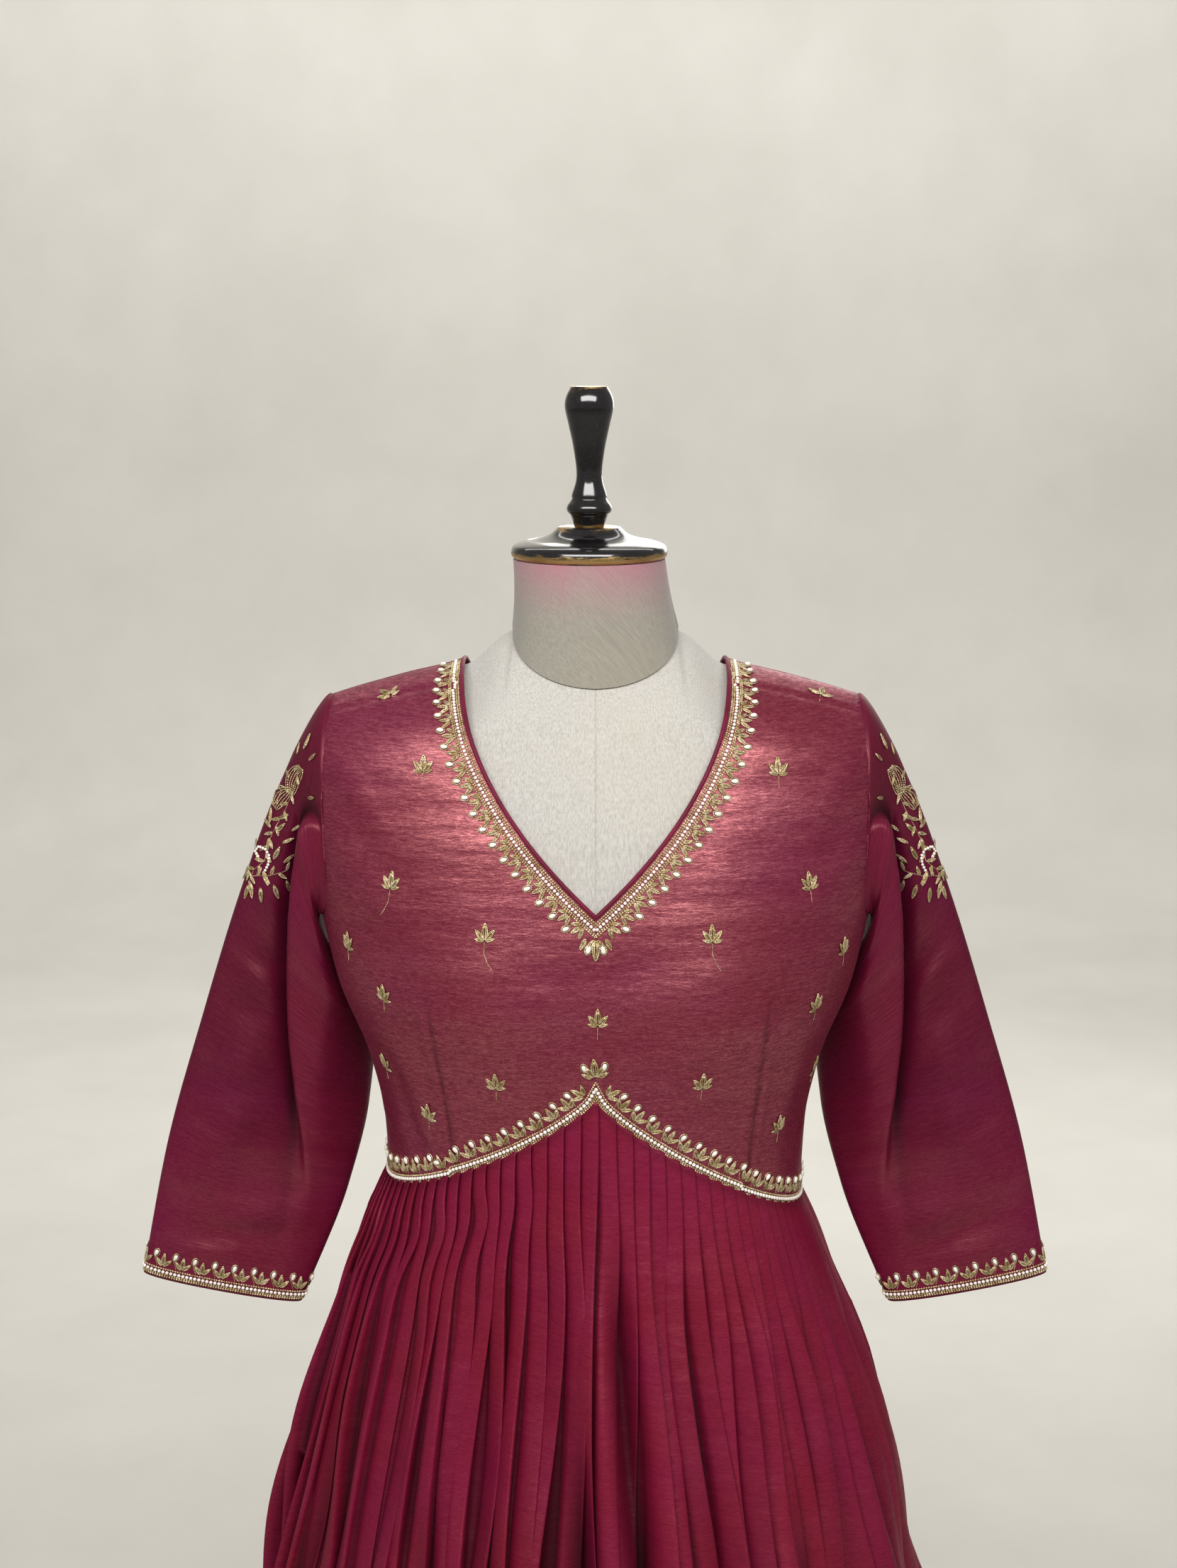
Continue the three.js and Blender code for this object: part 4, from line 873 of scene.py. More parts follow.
def sleeve_point(u, v, sign):
    """A sleeve's surface: u round it from its outer edge over the front, v from armhole to cuff.
    Gives the points, and how much painted shade each gets."""
    along = v
    outer_x, outer_y, outer_drop, inner_x, inner_y, inner_drop, thick = (
        c(along) for c in sleeve_curves)
    a = 2 * math.pi * u
    outer = np.stack([outer_x, outer_y, SHOULDER_Z - outer_drop], axis=-1)
    inner = np.stack([inner_x, inner_y, SHOULDER_Z - inner_drop], axis=-1)
    middle = (outer + inner) / 2
    hang = middle + (outer - middle) * np.cos(a)[..., None]
    across = (1 - np.cos(a)) / 2
    sine = np.sin(a)
    front = sine >= 0
    fold = fold_out(along) * smooth((across - fold_at(along)) / fold_steep(along))
    fold = fold * smooth(3 * (1 - across)) * (1 + 0.2 * np.sin(9 * along))
    standing = fold_out(along) / 22
    groove = -9.0 * bell((across - fold_at(along) + 0.04) / 0.09) * standing
    lip = 12.0 * bell((across - fold_at(along) - 0.9 * fold_steep(along)) / 0.055) * standing
    creases = np.zeros_like(along)
    for at_along, at_across, reach_along, reach_across, height in SLEEVE_WRINKLES:
        skewed = (along - at_along) - sign * 0.05 * (across - at_across)
        creases += (1.8 * height * bell(skewed / reach_along)
                    * bell((across - at_across) / reach_across))
    back_creases = 1.6 * np.sin(26 * along + 7 * across) * bell((across - 0.6) / 0.3)
    swell = np.where(front, fold + groove + creases, -back_creases)
    swell = swell * np.minimum(1, np.abs(sine) * 2.2)
    flattened = np.abs(np.where(np.abs(sine) < 1e-9, 1, sine)) ** -0.3
    hang[..., 1] -= thick * 0.8 * sine * flattened + swell
    lip = lip * np.where(front, np.minimum(1, np.abs(sine) * 2), 0)
    hang += unit(outer - inner) * lip[..., None]
    clear = 0.3 + 4 * smooth(along * 16) * across ** 2
    seam = armhole_loop(u)
    centre = np.array([0, 0, SHOULDER_Z - (tip_drop + UNDERARM_DROP) / 2])
    inwards = (centre - seam) * np.array([0, 1, 1])
    inwards /= np.maximum(np.linalg.norm(inwards, axis=-1, keepdims=True), 1e-9)
    tucked = smooth(1 - along / 0.012)
    seam = seam + inwards * (1.5 * tucked)[..., None]
    seam[..., 0] += clear - 3.5 * tucked
    points = mix(seam, hang, smooth(along / 0.13)[..., None])
    puff = 3.0 * bell((along - 0.06) / 0.055) * np.maximum(0, np.cos(a))
    points = points + puff[..., None] * np.array([0.75, 0, 0.65])
    # Painted shade: a shadow in the groove under the fold's lip, shade over the outer part beyond
    # the fold, a flat shade over the back, shade in the underarm and along the armhole seam.
    depth = 0.85 * bell((across - fold_at(along) + 0.025) / 0.045)
    depth = depth + 0.30 * smooth((fold_at(along) - across) / 0.08)
    depth = depth * np.minimum(1, 1.4 * standing)
    underarm_painted_shade = 0.9 * bell((along - 0.17) / 0.06) * smooth((across - 0.82) / 0.18)
    depth = np.where(front, depth, 0.15) + underarm_painted_shade + 0.3 * bell(along / 0.01)
    return points * np.array([sign, 1, 1]), depth


sleeve_silk = tissue_silk("sleeve_tissue_silk", gold=0.06, base=(0.124, 0.0035, 0.023),
                          gold_tint=(0.88, 0.36, 0.34), streaks=0.3, patches=0.10)
sleeve_trees = {}
for sign, name, node in ((1, "sleeve_left_cloth", "sleeve_left"),
                         (-1, "sleeve_right_cloth", "sleeve_right")):
    bm = bmesh.new()
    shaped_grid(bm, SLEEVE_COLUMNS, SLEEVE_ROWS,
                lambda u, v, s=sign: sleeve_point(u, v, s)[0],
                cloth=lambda u, v, p: (SLEEVE_FLAT[0] * u, SLEEVE_FLAT[1] * v),
                depth=lambda u, v, p, s=sign: sleeve_point(u, v, s)[1])
    bmesh.ops.remove_doubles(bm, verts=bm.verts, dist=1e-5)
    bmesh.ops.recalc_face_normals(bm, faces=bm.faces)
    point_out(bm, lambda p: Vector((p.x - sign * SLEEVE_MIDDLE, p.y, 0)))
    sleeve_trees[sign] = BVHTree.FromBMesh(bm)
    sleeve = walled(link_mesh(name, mesh_from(bm, name), sleeve_silk), LINED_CLOTH)
    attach(sleeve, "root")
    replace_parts(sleeve, node)

# ================================================================ neck piping
# A bias strip of plain crimson silk, folded over a cord and sewn into the neck edge.
PIPING_RADIUS = 1.6
PIPING_OUT, PIPING_LIFT = 1.1, 0.5      # past the neck edge, and in front of it at the middle
PIPING_TUCK = 1.8             # how far it dips where front and back meet


def closed_cord(name, line, radius, material):
    """A round cord along a closed line of points in millimetres, as a mesh."""
    data = bpy.data.curves.new(name, "CURVE")
    data.dimensions = "3D"
    data.bevel_depth = radius * MM
    data.bevel_resolution = 3
    spline = data.splines.new("POLY")
    spline.points.add(len(line) - 1)
    spline.use_cyclic_u = True
    for point, place in zip(spline.points, line):
        point.co = (*(c * MM for c in place), 1)
    holder = bpy.data.objects.new(name, data)
    bpy.context.scene.collection.objects.link(holder)
    bpy.context.view_layer.update()
    scene_now = bpy.context.evaluated_depsgraph_get()
    made = bpy.data.meshes.new_from_object(holder.evaluated_get(scene_now))
    bpy.data.objects.remove(holder)
    made.name = name
    made.materials.clear()
    made.polygons.foreach_set("use_smooth", [True] * len(made.polygons))
    return link_mesh(name, made, material)


def half_edge(place, count):
    """Points along half an edge, from its middle, and the way into the cloth at each of them."""
    t = np.linspace(0, 1, count)
    edge, inside = place(t, 0.0), place(t, 0.03)
    along = unit(np.gradient(edge, axis=0))
    into = inside - edge
    into = unit(into - along * np.sum(into * along, axis=1, keepdims=True))
    window = np.ones(13) / 13
    padded = np.vstack([np.repeat(into[:1], 6, axis=0), into, np.repeat(into[-1:], 6, axis=0)])
    into = unit(np.stack([np.convolve(c, window, "valid") for c in padded.T], axis=-1))
    return edge, into, along


def neck_half(side):
    def place(t, depth):
        across = np.maximum(t * NECK_SHARE, 1e-6)
        phi, drop = bodice_place(across, np.full_like(t, 1 - depth), side)
        return torso_point(phi, drop, side, bodice_sections, gown_ridge)
    return half_edge(place, 160)


def mirrored(points):
    return points * np.array([-1, 1, 1])


plain_silk = new_material("piping_crimson_silk")
silk_place = wire(plain_silk, "TexCoord").outputs["Object"]
silk_twill = noise(plain_silk, mapped(plain_silk, silk_place, (1400, 1400, 1400)), 1.0, 3)
silk_cloud = noise(plain_silk, silk_place, 60, 3)
silk_colour = blended(plain_silk, ramp(plain_silk, silk_cloud, (0.35, 0.0), (0.7, 1.0)),
                      (0.10, 0.004, 0.020), (0.16, 0.007, 0.033))
silk_surface = wire(plain_silk, "BsdfPrincipled",
                    {"Roughness": 0.55, "Specular IOR Level": 0.2, "Sheen Weight": 0.1,
                     "Sheen Tint": (0.9, 0.3, 0.45, 1)},
                    {"Base Color": silk_colour,
                     "Normal": bumped(plain_silk, silk_twill, 0.4, 0.0003)})
finish_material(plain_silk, silk_surface.outputs[0])

piping_halves = {}
for side in (FRONT, BACK):
    edge, into, _ = neck_half(side)
    share = np.linspace(0, 1, len(edge))
    lift = np.stack([0 * share, np.full(len(edge), side * PIPING_LIFT), 0 * share], axis=-1)
    raised = edge - into * PIPING_OUT + lift * smooth(share[::-1] / 0.1)[:, None]
    raised[:, 2] -= PIPING_TUCK * smooth((share - 0.93) / 0.07)
    piping_halves[side] = raised
ahead, behind = piping_halves[FRONT], piping_halves[BACK]
piping_line = [*mirrored(ahead)[::-1][:-1], *ahead[:-1],
               *behind[::-1][:-1], *mirrored(behind)[:-1]]
piping_piece = closed_cord("neck_piping_cord", piping_line, PIPING_RADIUS, plain_silk)
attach(piping_piece, "root")
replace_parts(piping_piece, "neck_piping")

# ================================================================ trims: stitches and rails
# The trims are hand embroidery in five stitches: round pearls, drop pearls, loops of gold wire
# round those, short wire beads in rows and stalks, and leaves outlined in coiled gold wire with two
# strands inside. Each stitch is set on the cloth.
PEARL_RADIUS = {"neck": 1.25, "waist": 1.42, "cuff": 1.35}
PEARL_PITCH = {"neck": 2.95, "waist": 3.2, "cuff": 3.1}
WIRE_BEAD = (1.0, 0.86, 0.8)       # half length, half width, half height
WIRE_PITCH = 1.9
LEAF = dict(half_width=0.17, wire=0.050, height=0.06)     # shares of its length


def ring_tube(bm, line, radius, closed, sides=4):
    """A thin round wire along a line of (x, y, z)."""
    line = np.array(line)
    if closed:
        ahead = unit(np.roll(line, -1, axis=0) - np.roll(line, 1, axis=0))
    else:
        ahead = unit(np.gradient(line, axis=0))
    beside = unit(np.cross(ahead, [0, 0, 1]))
    up = np.cross(beside, ahead)
    rings = []
    for middle, b, w in zip(line, beside, up):
        rings.append([bm.verts.new(middle + radius * (b * math.cos(t) + w * math.sin(t)))
                      for t in np.linspace(0, 2 * math.pi, sides + 1)[:-1]])
    pairs = list(zip(rings, rings[1:])) + ([(rings[-1], rings[0])] if closed else [])
    for first, second in pairs:
        for k in range(sides):
            bm.faces.new((first[k], second[k], second[(k + 1) % sides], first[(k + 1) % sides]))
    if not closed:
        bm.faces.new(rings[0])
        bm.faces.new(rings[-1][::-1])


def stitch(kind):
    """The mesh of one stitch, lying along X and facing +Z, from its base at the origin."""
    bm = bmesh.new()
    if kind == "pearl":
        bmesh.ops.create_icosphere(bm, subdivisions=2, radius=1)
        bmesh.ops.scale(bm, vec=(1, 1, 0.9), verts=bm.verts)
        bmesh.ops.translate(bm, vec=(0, 0, 0.55), verts=bm.verts)
    elif kind == "bead":
        bmesh.ops.create_icosphere(bm, subdivisions=1, radius=1)
    elif kind == "drop":
        bmesh.ops.create_uvsphere(bm, u_segments=14, v_segments=9, radius=1)
        bmesh.ops.rotate(bm, verts=bm.verts, matrix=Matrix.Rotation(QUARTER, 3, "Y"))
        for vert in bm.verts:
            slim = 0.84 + 0.14 * vert.co.x
            vert.co = (vert.co.x * 1.35 + 1.35, vert.co.y * slim, vert.co.z * slim * 0.85 + 0.4)
    elif kind == "loop":
        turn = np.linspace(0, 2 * math.pi, 19)[:-1]
        ring = [(1.35 - 1.72 * math.cos(t), 1.2 * math.sin(t), 0.1) for t in turn]
        ring_tube(bm, ring, 0.2, True)
    else:
        turn = np.linspace(0, 2 * math.pi, 17)[:-1]
        share = (1 - np.cos(turn)) / 2
        width, thick = LEAF["half_width"], LEAF["wire"]
        half = width * np.sin(math.pi * share ** 0.8) ** 0.8 * np.sign(np.sin(turn))
        ring_tube(bm, np.stack([share, half, 0 * share + thick], axis=-1), thick, True)
        inner = np.linspace(0.1, 0.84, 5)
        for aside in (-0.4, 0.4):
            strand = [inner, aside * width * np.sin(math.pi * inner ** 0.8),
                      0 * inner + LEAF["height"]]
            ring_tube(bm, np.stack(strand, axis=-1), 0.9 * thick, False)
    bmesh.ops.recalc_face_normals(bm, faces=bm.faces)
    return mesh_from(bm, "stitch_" + kind)


stitches = {kind: stitch(kind) for kind in ("pearl", "bead", "drop", "loop", "leaf")}


def set_on(tree, point, heading, lift):
    """The place of a stitch on a cloth: +X along heading, +Z out of the cloth. Millimetres."""
    spot, normal, _, _ = tree.find_nearest(Vector(point) * MM)
    ahead = Vector(heading)
    ahead = (ahead - normal * ahead.dot(normal)).normalized()
    beside = normal.cross(ahead)
    turned_to = Matrix((ahead, beside, normal)).transposed().to_4x4()
    return Matrix.Translation(spot / MM + normal * lift) @ turned_to


def laid_leaf(tree, base, heading, length, lift):
    """The place of a leaf that lies flat on the cloth at its middle, from its base on."""
    middle = set_on(tree, base + heading * length * 0.5, heading, lift)
    return middle @ Matrix.Translation((-length * 0.5, 0, 0))


def embroider(name, placed, material, kinds):
    """One mesh of the stitches of some kinds. placed lists (kind, place, its size three ways)."""
    bm = bmesh.new()
    for kind, place, size in placed:
        if kind in kinds:
            first = len(bm.verts)
            bm.from_mesh(stitches[kind])
            bm.verts.ensure_lookup_table()
            matrix = Matrix.Scale(MM, 4) @ place @ Matrix.Diagonal((*size, 1))
            bmesh.ops.transform(bm, matrix=matrix, verts=bm.verts[first:])
    return link_mesh(name, mesh_from(bm, name), material)


class Rail:
    """A line on a cloth at a set distance from its edge, that stitches are set along."""

    def __init__(self, points, into, tree, closed=False):
        if closed:
            points, into = np.vstack([points, points[:1]]), np.vstack([into, into[:1]])
        self.points, self.into, self.tree = points, into, tree
        steps = np.linalg.norm(np.diff(points, axis=0), axis=1)
        self.length_at = np.concatenate([[0], np.cumsum(steps)])
        self.length = self.length_at[-1]

    def on_line(self, length, values):
        return np.array([np.interp(length, self.length_at, c) for c in values.T])

    def at(self, length):
        """A place on the rail, the way into the cloth there, and the way along."""
        place, into = self.on_line(length, self.points), self.on_line(length, self.into)
        ahead, behind = (self.on_line(length + step, self.points) for step in (0.6, -0.6))
        along = unit(ahead - behind)
        return place, unit(into - along * np.dot(into, along)), along

    def row(self, kind, pitch, size, lift, margin=0.0):
        """Equal stitches in a row, from margin short of one end to margin short of the other."""
        count = max(1, int(round((self.length - margin - margin) / pitch)))
        placed = []
        for k in range(count):
            length = margin + (k + 0.5) * (self.length - margin - margin) / count
            place, _, along = self.at(length)
            placed.append((kind, set_on(self.tree, place, along, lift), size))
        return placed

    def sprig(self, length, parts):
        """Stitches about one place on the rail. A part is its kind, how far along and into the
        cloth its base lies, its angle from the rail in degrees, and its size."""
        place, into, along = self.at(length)
        placed = []
        for kind, x, y, degrees, size in parts:
            angle = math.radians(degrees)
            heading = along * math.cos(angle) + into * math.sin(angle)
            lift = 0.6 if kind == "drop" else 0.35
            base = place + along * x + into * y
            spot = (laid_leaf(self.tree, base, heading, size[0], lift) if kind == "leaf"
                    else set_on(self.tree, base, heading, lift))
            placed.append((kind, spot, size))
        return placed


def offset_line(edge, into, along, distance):
    """An edge moved into the cloth, and carried on to the middle line where it starts."""
    moved = edge + into * distance
    first, back = moved[0], -along[0]
    if first[0] * back[0] < 0:
        reach = first[0] / -back[0]
        extra = [first + back * reach * t for t in np.linspace(1, 0, 8)[:-1]]
        moved = np.vstack([extra, moved])
        into = np.vstack([np.repeat(into[:1], len(extra), axis=0), into])
    keep = moved[:, 0] >= -1e-6
    return moved[keep], into[keep]


def two_sided_rail(half, distance, tree):
    points, into = offset_line(*half, distance)
    return Rail(np.vstack([mirrored(points)[::-1], points[1:]]),
                np.vstack([mirrored(into)[::-1], into[1:]]), tree)


def leaf(x, y, degrees, length):
    return ("leaf", x, y, degrees, (length, length, length))


def drop_pearl(x, y, degrees, size=1.9):
    """A drop pearl in a loop of gold wire."""
    return [(kind, x, y, degrees, (size, size, size)) for kind in ("drop", "loop")]


def stalk(x, y, degrees, length):
    """A short line of thin wire beads."""
    angle = math.radians(degrees)
    return [("bead", x + step * math.cos(angle), y + step * math.sin(angle), degrees,
             (0.85, 0.27, 0.27)) for step in np.arange(0.4, length, 1.15)]


def handed(parts, hand):
    """A sprig's parts as they are (1), or mirrored along the rail (-1)."""
    return [(kind, hand * x, y, degrees if hand > 0 else 180 - degrees, size)
            for kind, x, y, degrees, size in parts]


pearl = new_material("seed_pearls")
pearl_place = wire(pearl, "TexCoord").outputs["Object"]
pearl_tone = noise(pearl, mapped(pearl, pearl_place, (330, 330, 330)), 1.0, 2)
pearl_surface = wire(pearl, "BsdfPrincipled",
                     {"Roughness": 0.28, "Coat Weight": 0.35, "Coat Roughness": 0.12,
                      "Sheen Weight": 0.15, "Specular IOR Level": 0.6},
                     {"Base Color": blended(
                         pearl, ramp(pearl, pearl_tone, (0.36, 0.0), (0.64, 1.0)),
                         (0.74, 0.655, 0.56), (0.88, 0.85, 0.79))})
finish_material(pearl, pearl_surface.outputs[0])

gold_wire = new_material("coiled_gold_wire")
wire_place = wire(gold_wire, "TexCoord").outputs["Object"]
coil = noise(gold_wire, mapped(gold_wire, wire_place, (1500, 1500, 1500)), 1.0, 2, 0.6)
worn_tone = noise(gold_wire, mapped(gold_wire, wire_place, (240, 240, 240)), 1.0, 3)
wire_colour = blended(gold_wire, ramp(gold_wire, worn_tone, (0.38, 0.0), (0.62, 1.0)),
                      (0.56, 0.43, 0.20), (0.96, 0.84, 0.56))
wire_colour = blended(gold_wire, ramp(gold_wire, coil, (0.38, 0.85), (0.55, 0.0)), wire_colour,
                      (0.20, 0.125, 0.045))
wire_surface = wire(gold_wire, "BsdfPrincipled", {"Metallic": 0.75},
                    {"Base Color": wire_colour,
                     "Roughness": ramp(gold_wire, coil, (0.3, 0.5), (0.7, 0.28)),
                     "Normal": bumped(gold_wire, coil, 0.8, 0.0005)})
finish_material(gold_wire, wire_surface.outputs[0])


def sewn_trim(name, work):
    """A trim's two pieces: its pearls, and its gold wire, which is given back."""
    pearls = embroider(name + "_pearls", work, pearl, ("pearl", "drop"))
    goldwork = embroider(name + "_goldwork", work, gold_wire, ("bead", "leaf", "loop"))
    for piece in (pearls, goldwork):
        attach(piece, "root")
    return goldwork


# ================================================================ neck trim
# Round the front neck edge: two gold wire rows, a row of pearls, two more wire rows, then sprigs
# of three leaves that take turns with drop pearls. A larger sprig hangs at the V's point.
NECK_ROWS = [(2.0, "bead"), (3.6, "bead"), (5.7, "pearl"), (7.9, "bead"), (9.3, "bead")]
NECK_SPRIG = [leaf(-1.0, 0.2, 112, 7.6), leaf(0.7, 0.4, 74, 8.2), leaf(2.2, -0.6, 36, 6.4)]
NECK_DROP = drop_pearl(0.4, 6.2, 66) + stalk(-0.8, -0.6, 74, 6.6)
POINT_SPRIG = [leaf(0, 0.8, 90, 14.0), leaf(-1.2, 0.4, 124, 10.5), leaf(1.2, 0.4, 56, 10.5),
               *drop_pearl(-4.4, 4.2, 106, 2.1), *drop_pearl(4.4, 4.2, 74, 2.1),
               leaf(-7.0, -0.6, 118, 8.6), leaf(7.0, -0.6, 62, 8.6)]
NECK_SPRIG_DISTANCE, NECK_PITCH = 10.2, 12.6
POINT_GAP = 13                # from the V's point to the first sprig on each side


def trim_row(rail, trim, kind, margin=0.0):
    """One row of a trim, of wire beads or of pearls."""
    if kind == "bead":
        return rail.row(kind, WIRE_PITCH, WIRE_BEAD, 0.3, margin)
    return rail.row(kind, PEARL_PITCH[trim], (PEARL_RADIUS[trim],) * 3, 0.3, margin)


neck_front_half = neck_half(FRONT)
neck_work = []
for distance, kind in NECK_ROWS:
    rail = two_sided_rail(neck_front_half, distance, bodice_trees[FRONT])
    neck_work += trim_row(rail, "neck", kind, 1.5)
rail = two_sided_rail(neck_front_half, NECK_SPRIG_DISTANCE, bodice_trees[FRONT])
middle = rail.length / 2
for hand in (-1, 1):
    for k in range(int((middle - POINT_GAP) // NECK_PITCH) + 1):
        place = middle + hand * (POINT_GAP + k * NECK_PITCH)
        if 3 < place < rail.length - 3:
            neck_work += rail.sprig(place, handed(NECK_SPRIG, hand))
            neck_work += rail.sprig(place + hand * NECK_PITCH * 0.47, handed(NECK_DROP, hand))
neck_work += rail.sprig(middle, POINT_SPRIG)
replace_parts(sewn_trim("neck_trim", neck_work), "neck_border")

# ================================================================ waist trim
# Along the waist seam, from its lower edge up: two gold wire rows, the pearls, one more wire row,
# then leaf sprigs that take turns with drop pearls on slanted stalks. One sprig crowns the peak.
# The front's side parts, outside the darts, were worked apart and sit a little lower.
WAIST_ROWS = [(0.6, "bead"), (2.0, "bead"), (4.3, "pearl"), (6.5, "bead")]
WAIST_SPRIG = [leaf(0, 1.8, 90, 9.6), leaf(-1.0, 1.2, 134, 8.0), leaf(1.0, 1.2, 46, 8.0)]
WAIST_DROP = drop_pearl(0.6, 7.6, 76, 1.9) + stalk(3.2, 0.2, 116, 8.0)
PEAK_SPRIG = [leaf(0, 2.0, 90, 13.5), leaf(-1.2, 1.4, 124, 10.0), leaf(1.2, 1.4, 56, 10.0),
              leaf(-3.0, 0.6, 150, 7.4), leaf(3.0, 0.6, 30, 7.4),
              *drop_pearl(-6.6, 6.2, 104, 2.0), *drop_pearl(6.6, 6.2, 76, 2.0)]
WAIST_SPRIG_DISTANCE, WAIST_PITCH = 8.0, 14.4
SIDE_PART_LOWER = 1.7
DART_X = 103


def waist_half(side, sign):
    def place(t, height):
        phi = sign * QUARTER * np.maximum(t, 1e-5)
        points = torso_point(phi, waist_drop(phi, side) - 40 * height, side, bodice_sections,
                             gown_ridge)
        return points * np.array([sign, 1, 1])
    edge, into, along = half_edge(place, 240)
    if side == FRONT:
        lower = SIDE_PART_LOWER * (edge[:, 0] > DART_X)
        edge = edge - into * lower[:, None]
    return edge, into, along


def waist_rail(side, distance):
    right = offset_line(*waist_half(side, 1), distance)
    left = [mirrored(part)[::-1] for part in offset_line(*waist_half(side, -1), distance)]
    return Rail(np.vstack([left[0], right[0][1:]]), np.vstack([left[1], right[1][1:]]),
                bodice_trees[side])


for side, side_name in ((FRONT, "front"), (BACK, "back")):
    waist_work = []
    for distance, kind in WAIST_ROWS:
        waist_work += trim_row(waist_rail(side, distance), "waist", kind)
    rail = waist_rail(side, WAIST_SPRIG_DISTANCE)
    middle = float(np.interp(0, rail.points[:, 0], rail.length_at))
    waist_work += rail.sprig(middle, PEAK_SPRIG)
    for hand in (-1, 1):
        for k in range(1, 40):
            place = middle + hand * (1.5 + k * WAIST_PITCH)
            if not 4 < place < rail.length - 4:
                break
            waist_work += rail.sprig(place, WAIST_SPRIG)
            waist_work += rail.sprig(place + hand * WAIST_PITCH * 0.5, handed(WAIST_DROP, hand))
    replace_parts(sewn_trim("waist_trim_" + side_name, waist_work), "waist_border_" + side_name)

# ================================================================ cuff trims
# The same work round each sleeve's end, above a narrow turned hem: two wire rows, pearls, a wire
# row, leaf sprigs and drop pearls.
CUFF_ROWS = [(2.4, "bead"), (3.7, "bead"), (6.0, "pearl"), (8.3, "bead")]
CUFF_SPRIG = [leaf(0, 1.6, 90, 9.4), leaf(-0.8, 1.0, 134, 7.6), leaf(0.8, 1.0, 46, 7.6)]
CUFF_SPRIG_DISTANCE, CUFF_PITCH = 9.8, 14.4


def cuff_rail(sign, distance):
    turn = np.linspace(0, 1, 181)[:-1]
    edge = sleeve_point(turn, np.ones_like(turn), sign)[0]
    inside = sleeve_point(turn, np.full_like(turn, 0.97), sign)[0]
    along = unit(np.roll(edge, -1, axis=0) - np.roll(edge, 1, axis=0))
    into = inside - edge
    into = unit(into - along * np.sum(into * along, axis=1, keepdims=True))
    return Rail(edge + into * distance, into, sleeve_trees[sign], closed=True)


for sign, hand_name in ((1, "left"), (-1, "right")):
    cuff_work = []
    for distance, kind in CUFF_ROWS:
        cuff_work += trim_row(cuff_rail(sign, distance), "cuff", kind)
    rail = cuff_rail(sign, CUFF_SPRIG_DISTANCE)
    count = int(rail.length // CUFF_PITCH)
    for k in range(count):
        place = (k + 0.25) * rail.length / count
        cuff_work += rail.sprig(place, CUFF_SPRIG)
        cuff_work += rail.sprig(place + rail.length / count / 2, WAIST_DROP)
    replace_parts(sewn_trim("cuff_trim_" + hand_name, cuff_work), "cuff_border_" + hand_name)

# ================================================================ scattered sprigs
# Small three-lobed sprigs of coiled wire with a thread stem, scattered over the bodice, some with
# a loose thread end trailing below.
FRONT_SPRIGS = [              # x, drop, degrees that it leans
    (-147, 22, 40), (162, 23, -20), (-121, 68, 0), (128, 70, 0), (-144, 149, -6), (151, 150, 8),
    (-77, 180, 0), (81, 181, 0), (-177, 199, -8), (178, 203, 10), (-150, 231, -8), (157, 240, 10),
    (1.4, 239, 0), (-152, 290, -8), (160, 299, 8), (-70, 288, 0), (75, 288, 0), (-119, 320, -8),
    (132, 334, 6)]
BACK_SPRIGS = [
    (-140, 40, 0), (140, 40, 0), (-70, 105, 0), (70, 105, 0), (0, 130, 0), (-140, 125, 0),
    (140, 125, 0), (-105, 195, 0), (105, 195, 0), (-35, 205, 0), (35, 205, 0), (-150, 262, 0),
    (150, 262, 0), (-75, 285, 0), (75, 285, 0), (0, 300, 0), (-120, 335, 0), (120, 335, 0)]
SPRIG = [leaf(0, 0.6, 90, 11.6), leaf(-0.7, 0.2, 130, 9.4), leaf(0.7, 0.2, 50, 9.4),
         leaf(-0.9, -0.6, 164, 6.4), leaf(0.9, -0.6, 16, 6.4)] + stalk(0, -1.2, -92, 9.4)
TRAILING_ENDS = {(-77, 180): 1, (81, 181): 1, (-144, 149): -1}


def sprig_at(tree, x, drop, side, leaning, parts, size=1.0):
    middle = torso_point(angle_at(abs(x), drop, bodice_sections) * np.sign(x), drop, side,
                         bodice_sections, gown_ridge)
    lean = math.radians(leaning)
    across = np.array([-side * math.cos(lean), 0, math.sin(lean)])
    up = np.array([side * math.sin(lean), 0, math.cos(lean)])
    placed = []
    for kind, px, py, degrees, extent in parts:
        angle = math.radians(degrees)
        heading = across * math.cos(angle) + up * math.sin(angle)
        base = middle + (across * px + up * py) * size
        spot, normal, _, _ = tree.find_nearest(Vector(base) * MM)
        flat = unit(heading - np.array(normal) * np.dot(heading, normal))
        extent = tuple(size * e for e in extent)
        spot = np.array(spot) / MM
        matrix = (laid_leaf(tree, spot, flat, extent[0], 0.3) if kind == "leaf"
                  else set_on(tree, spot + flat * extent[0] * 0.5, flat, 0.3))
        placed.append((kind, matrix, extent))
    return placed


sprig_work = []
for side, table in ((FRONT, FRONT_SPRIGS), (BACK, BACK_SPRIGS)):
    for x, drop, leaning in table:
        sprig_work += sprig_at(bodice_trees[side], float(x), float(drop), side, leaning, SPRIG)
        bend = TRAILING_ENDS.get((x, drop)) if side == FRONT else None
        if bend:
            tail = [(kind, px + bend * (0.02 * (py + 9) ** 2), py, degrees, extent)
                    for kind, px, py, degrees, extent in stalk(0, -9.5, -92 + 16 * bend, 11)]
            sprig_work += sprig_at(bodice_trees[side], float(x), float(drop), side, leaning, tail)
sprig_piece = embroider("bodice_sprigs_goldwork", sprig_work, gold_wire, ("leaf", "bead"))
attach(sprig_piece, "root")

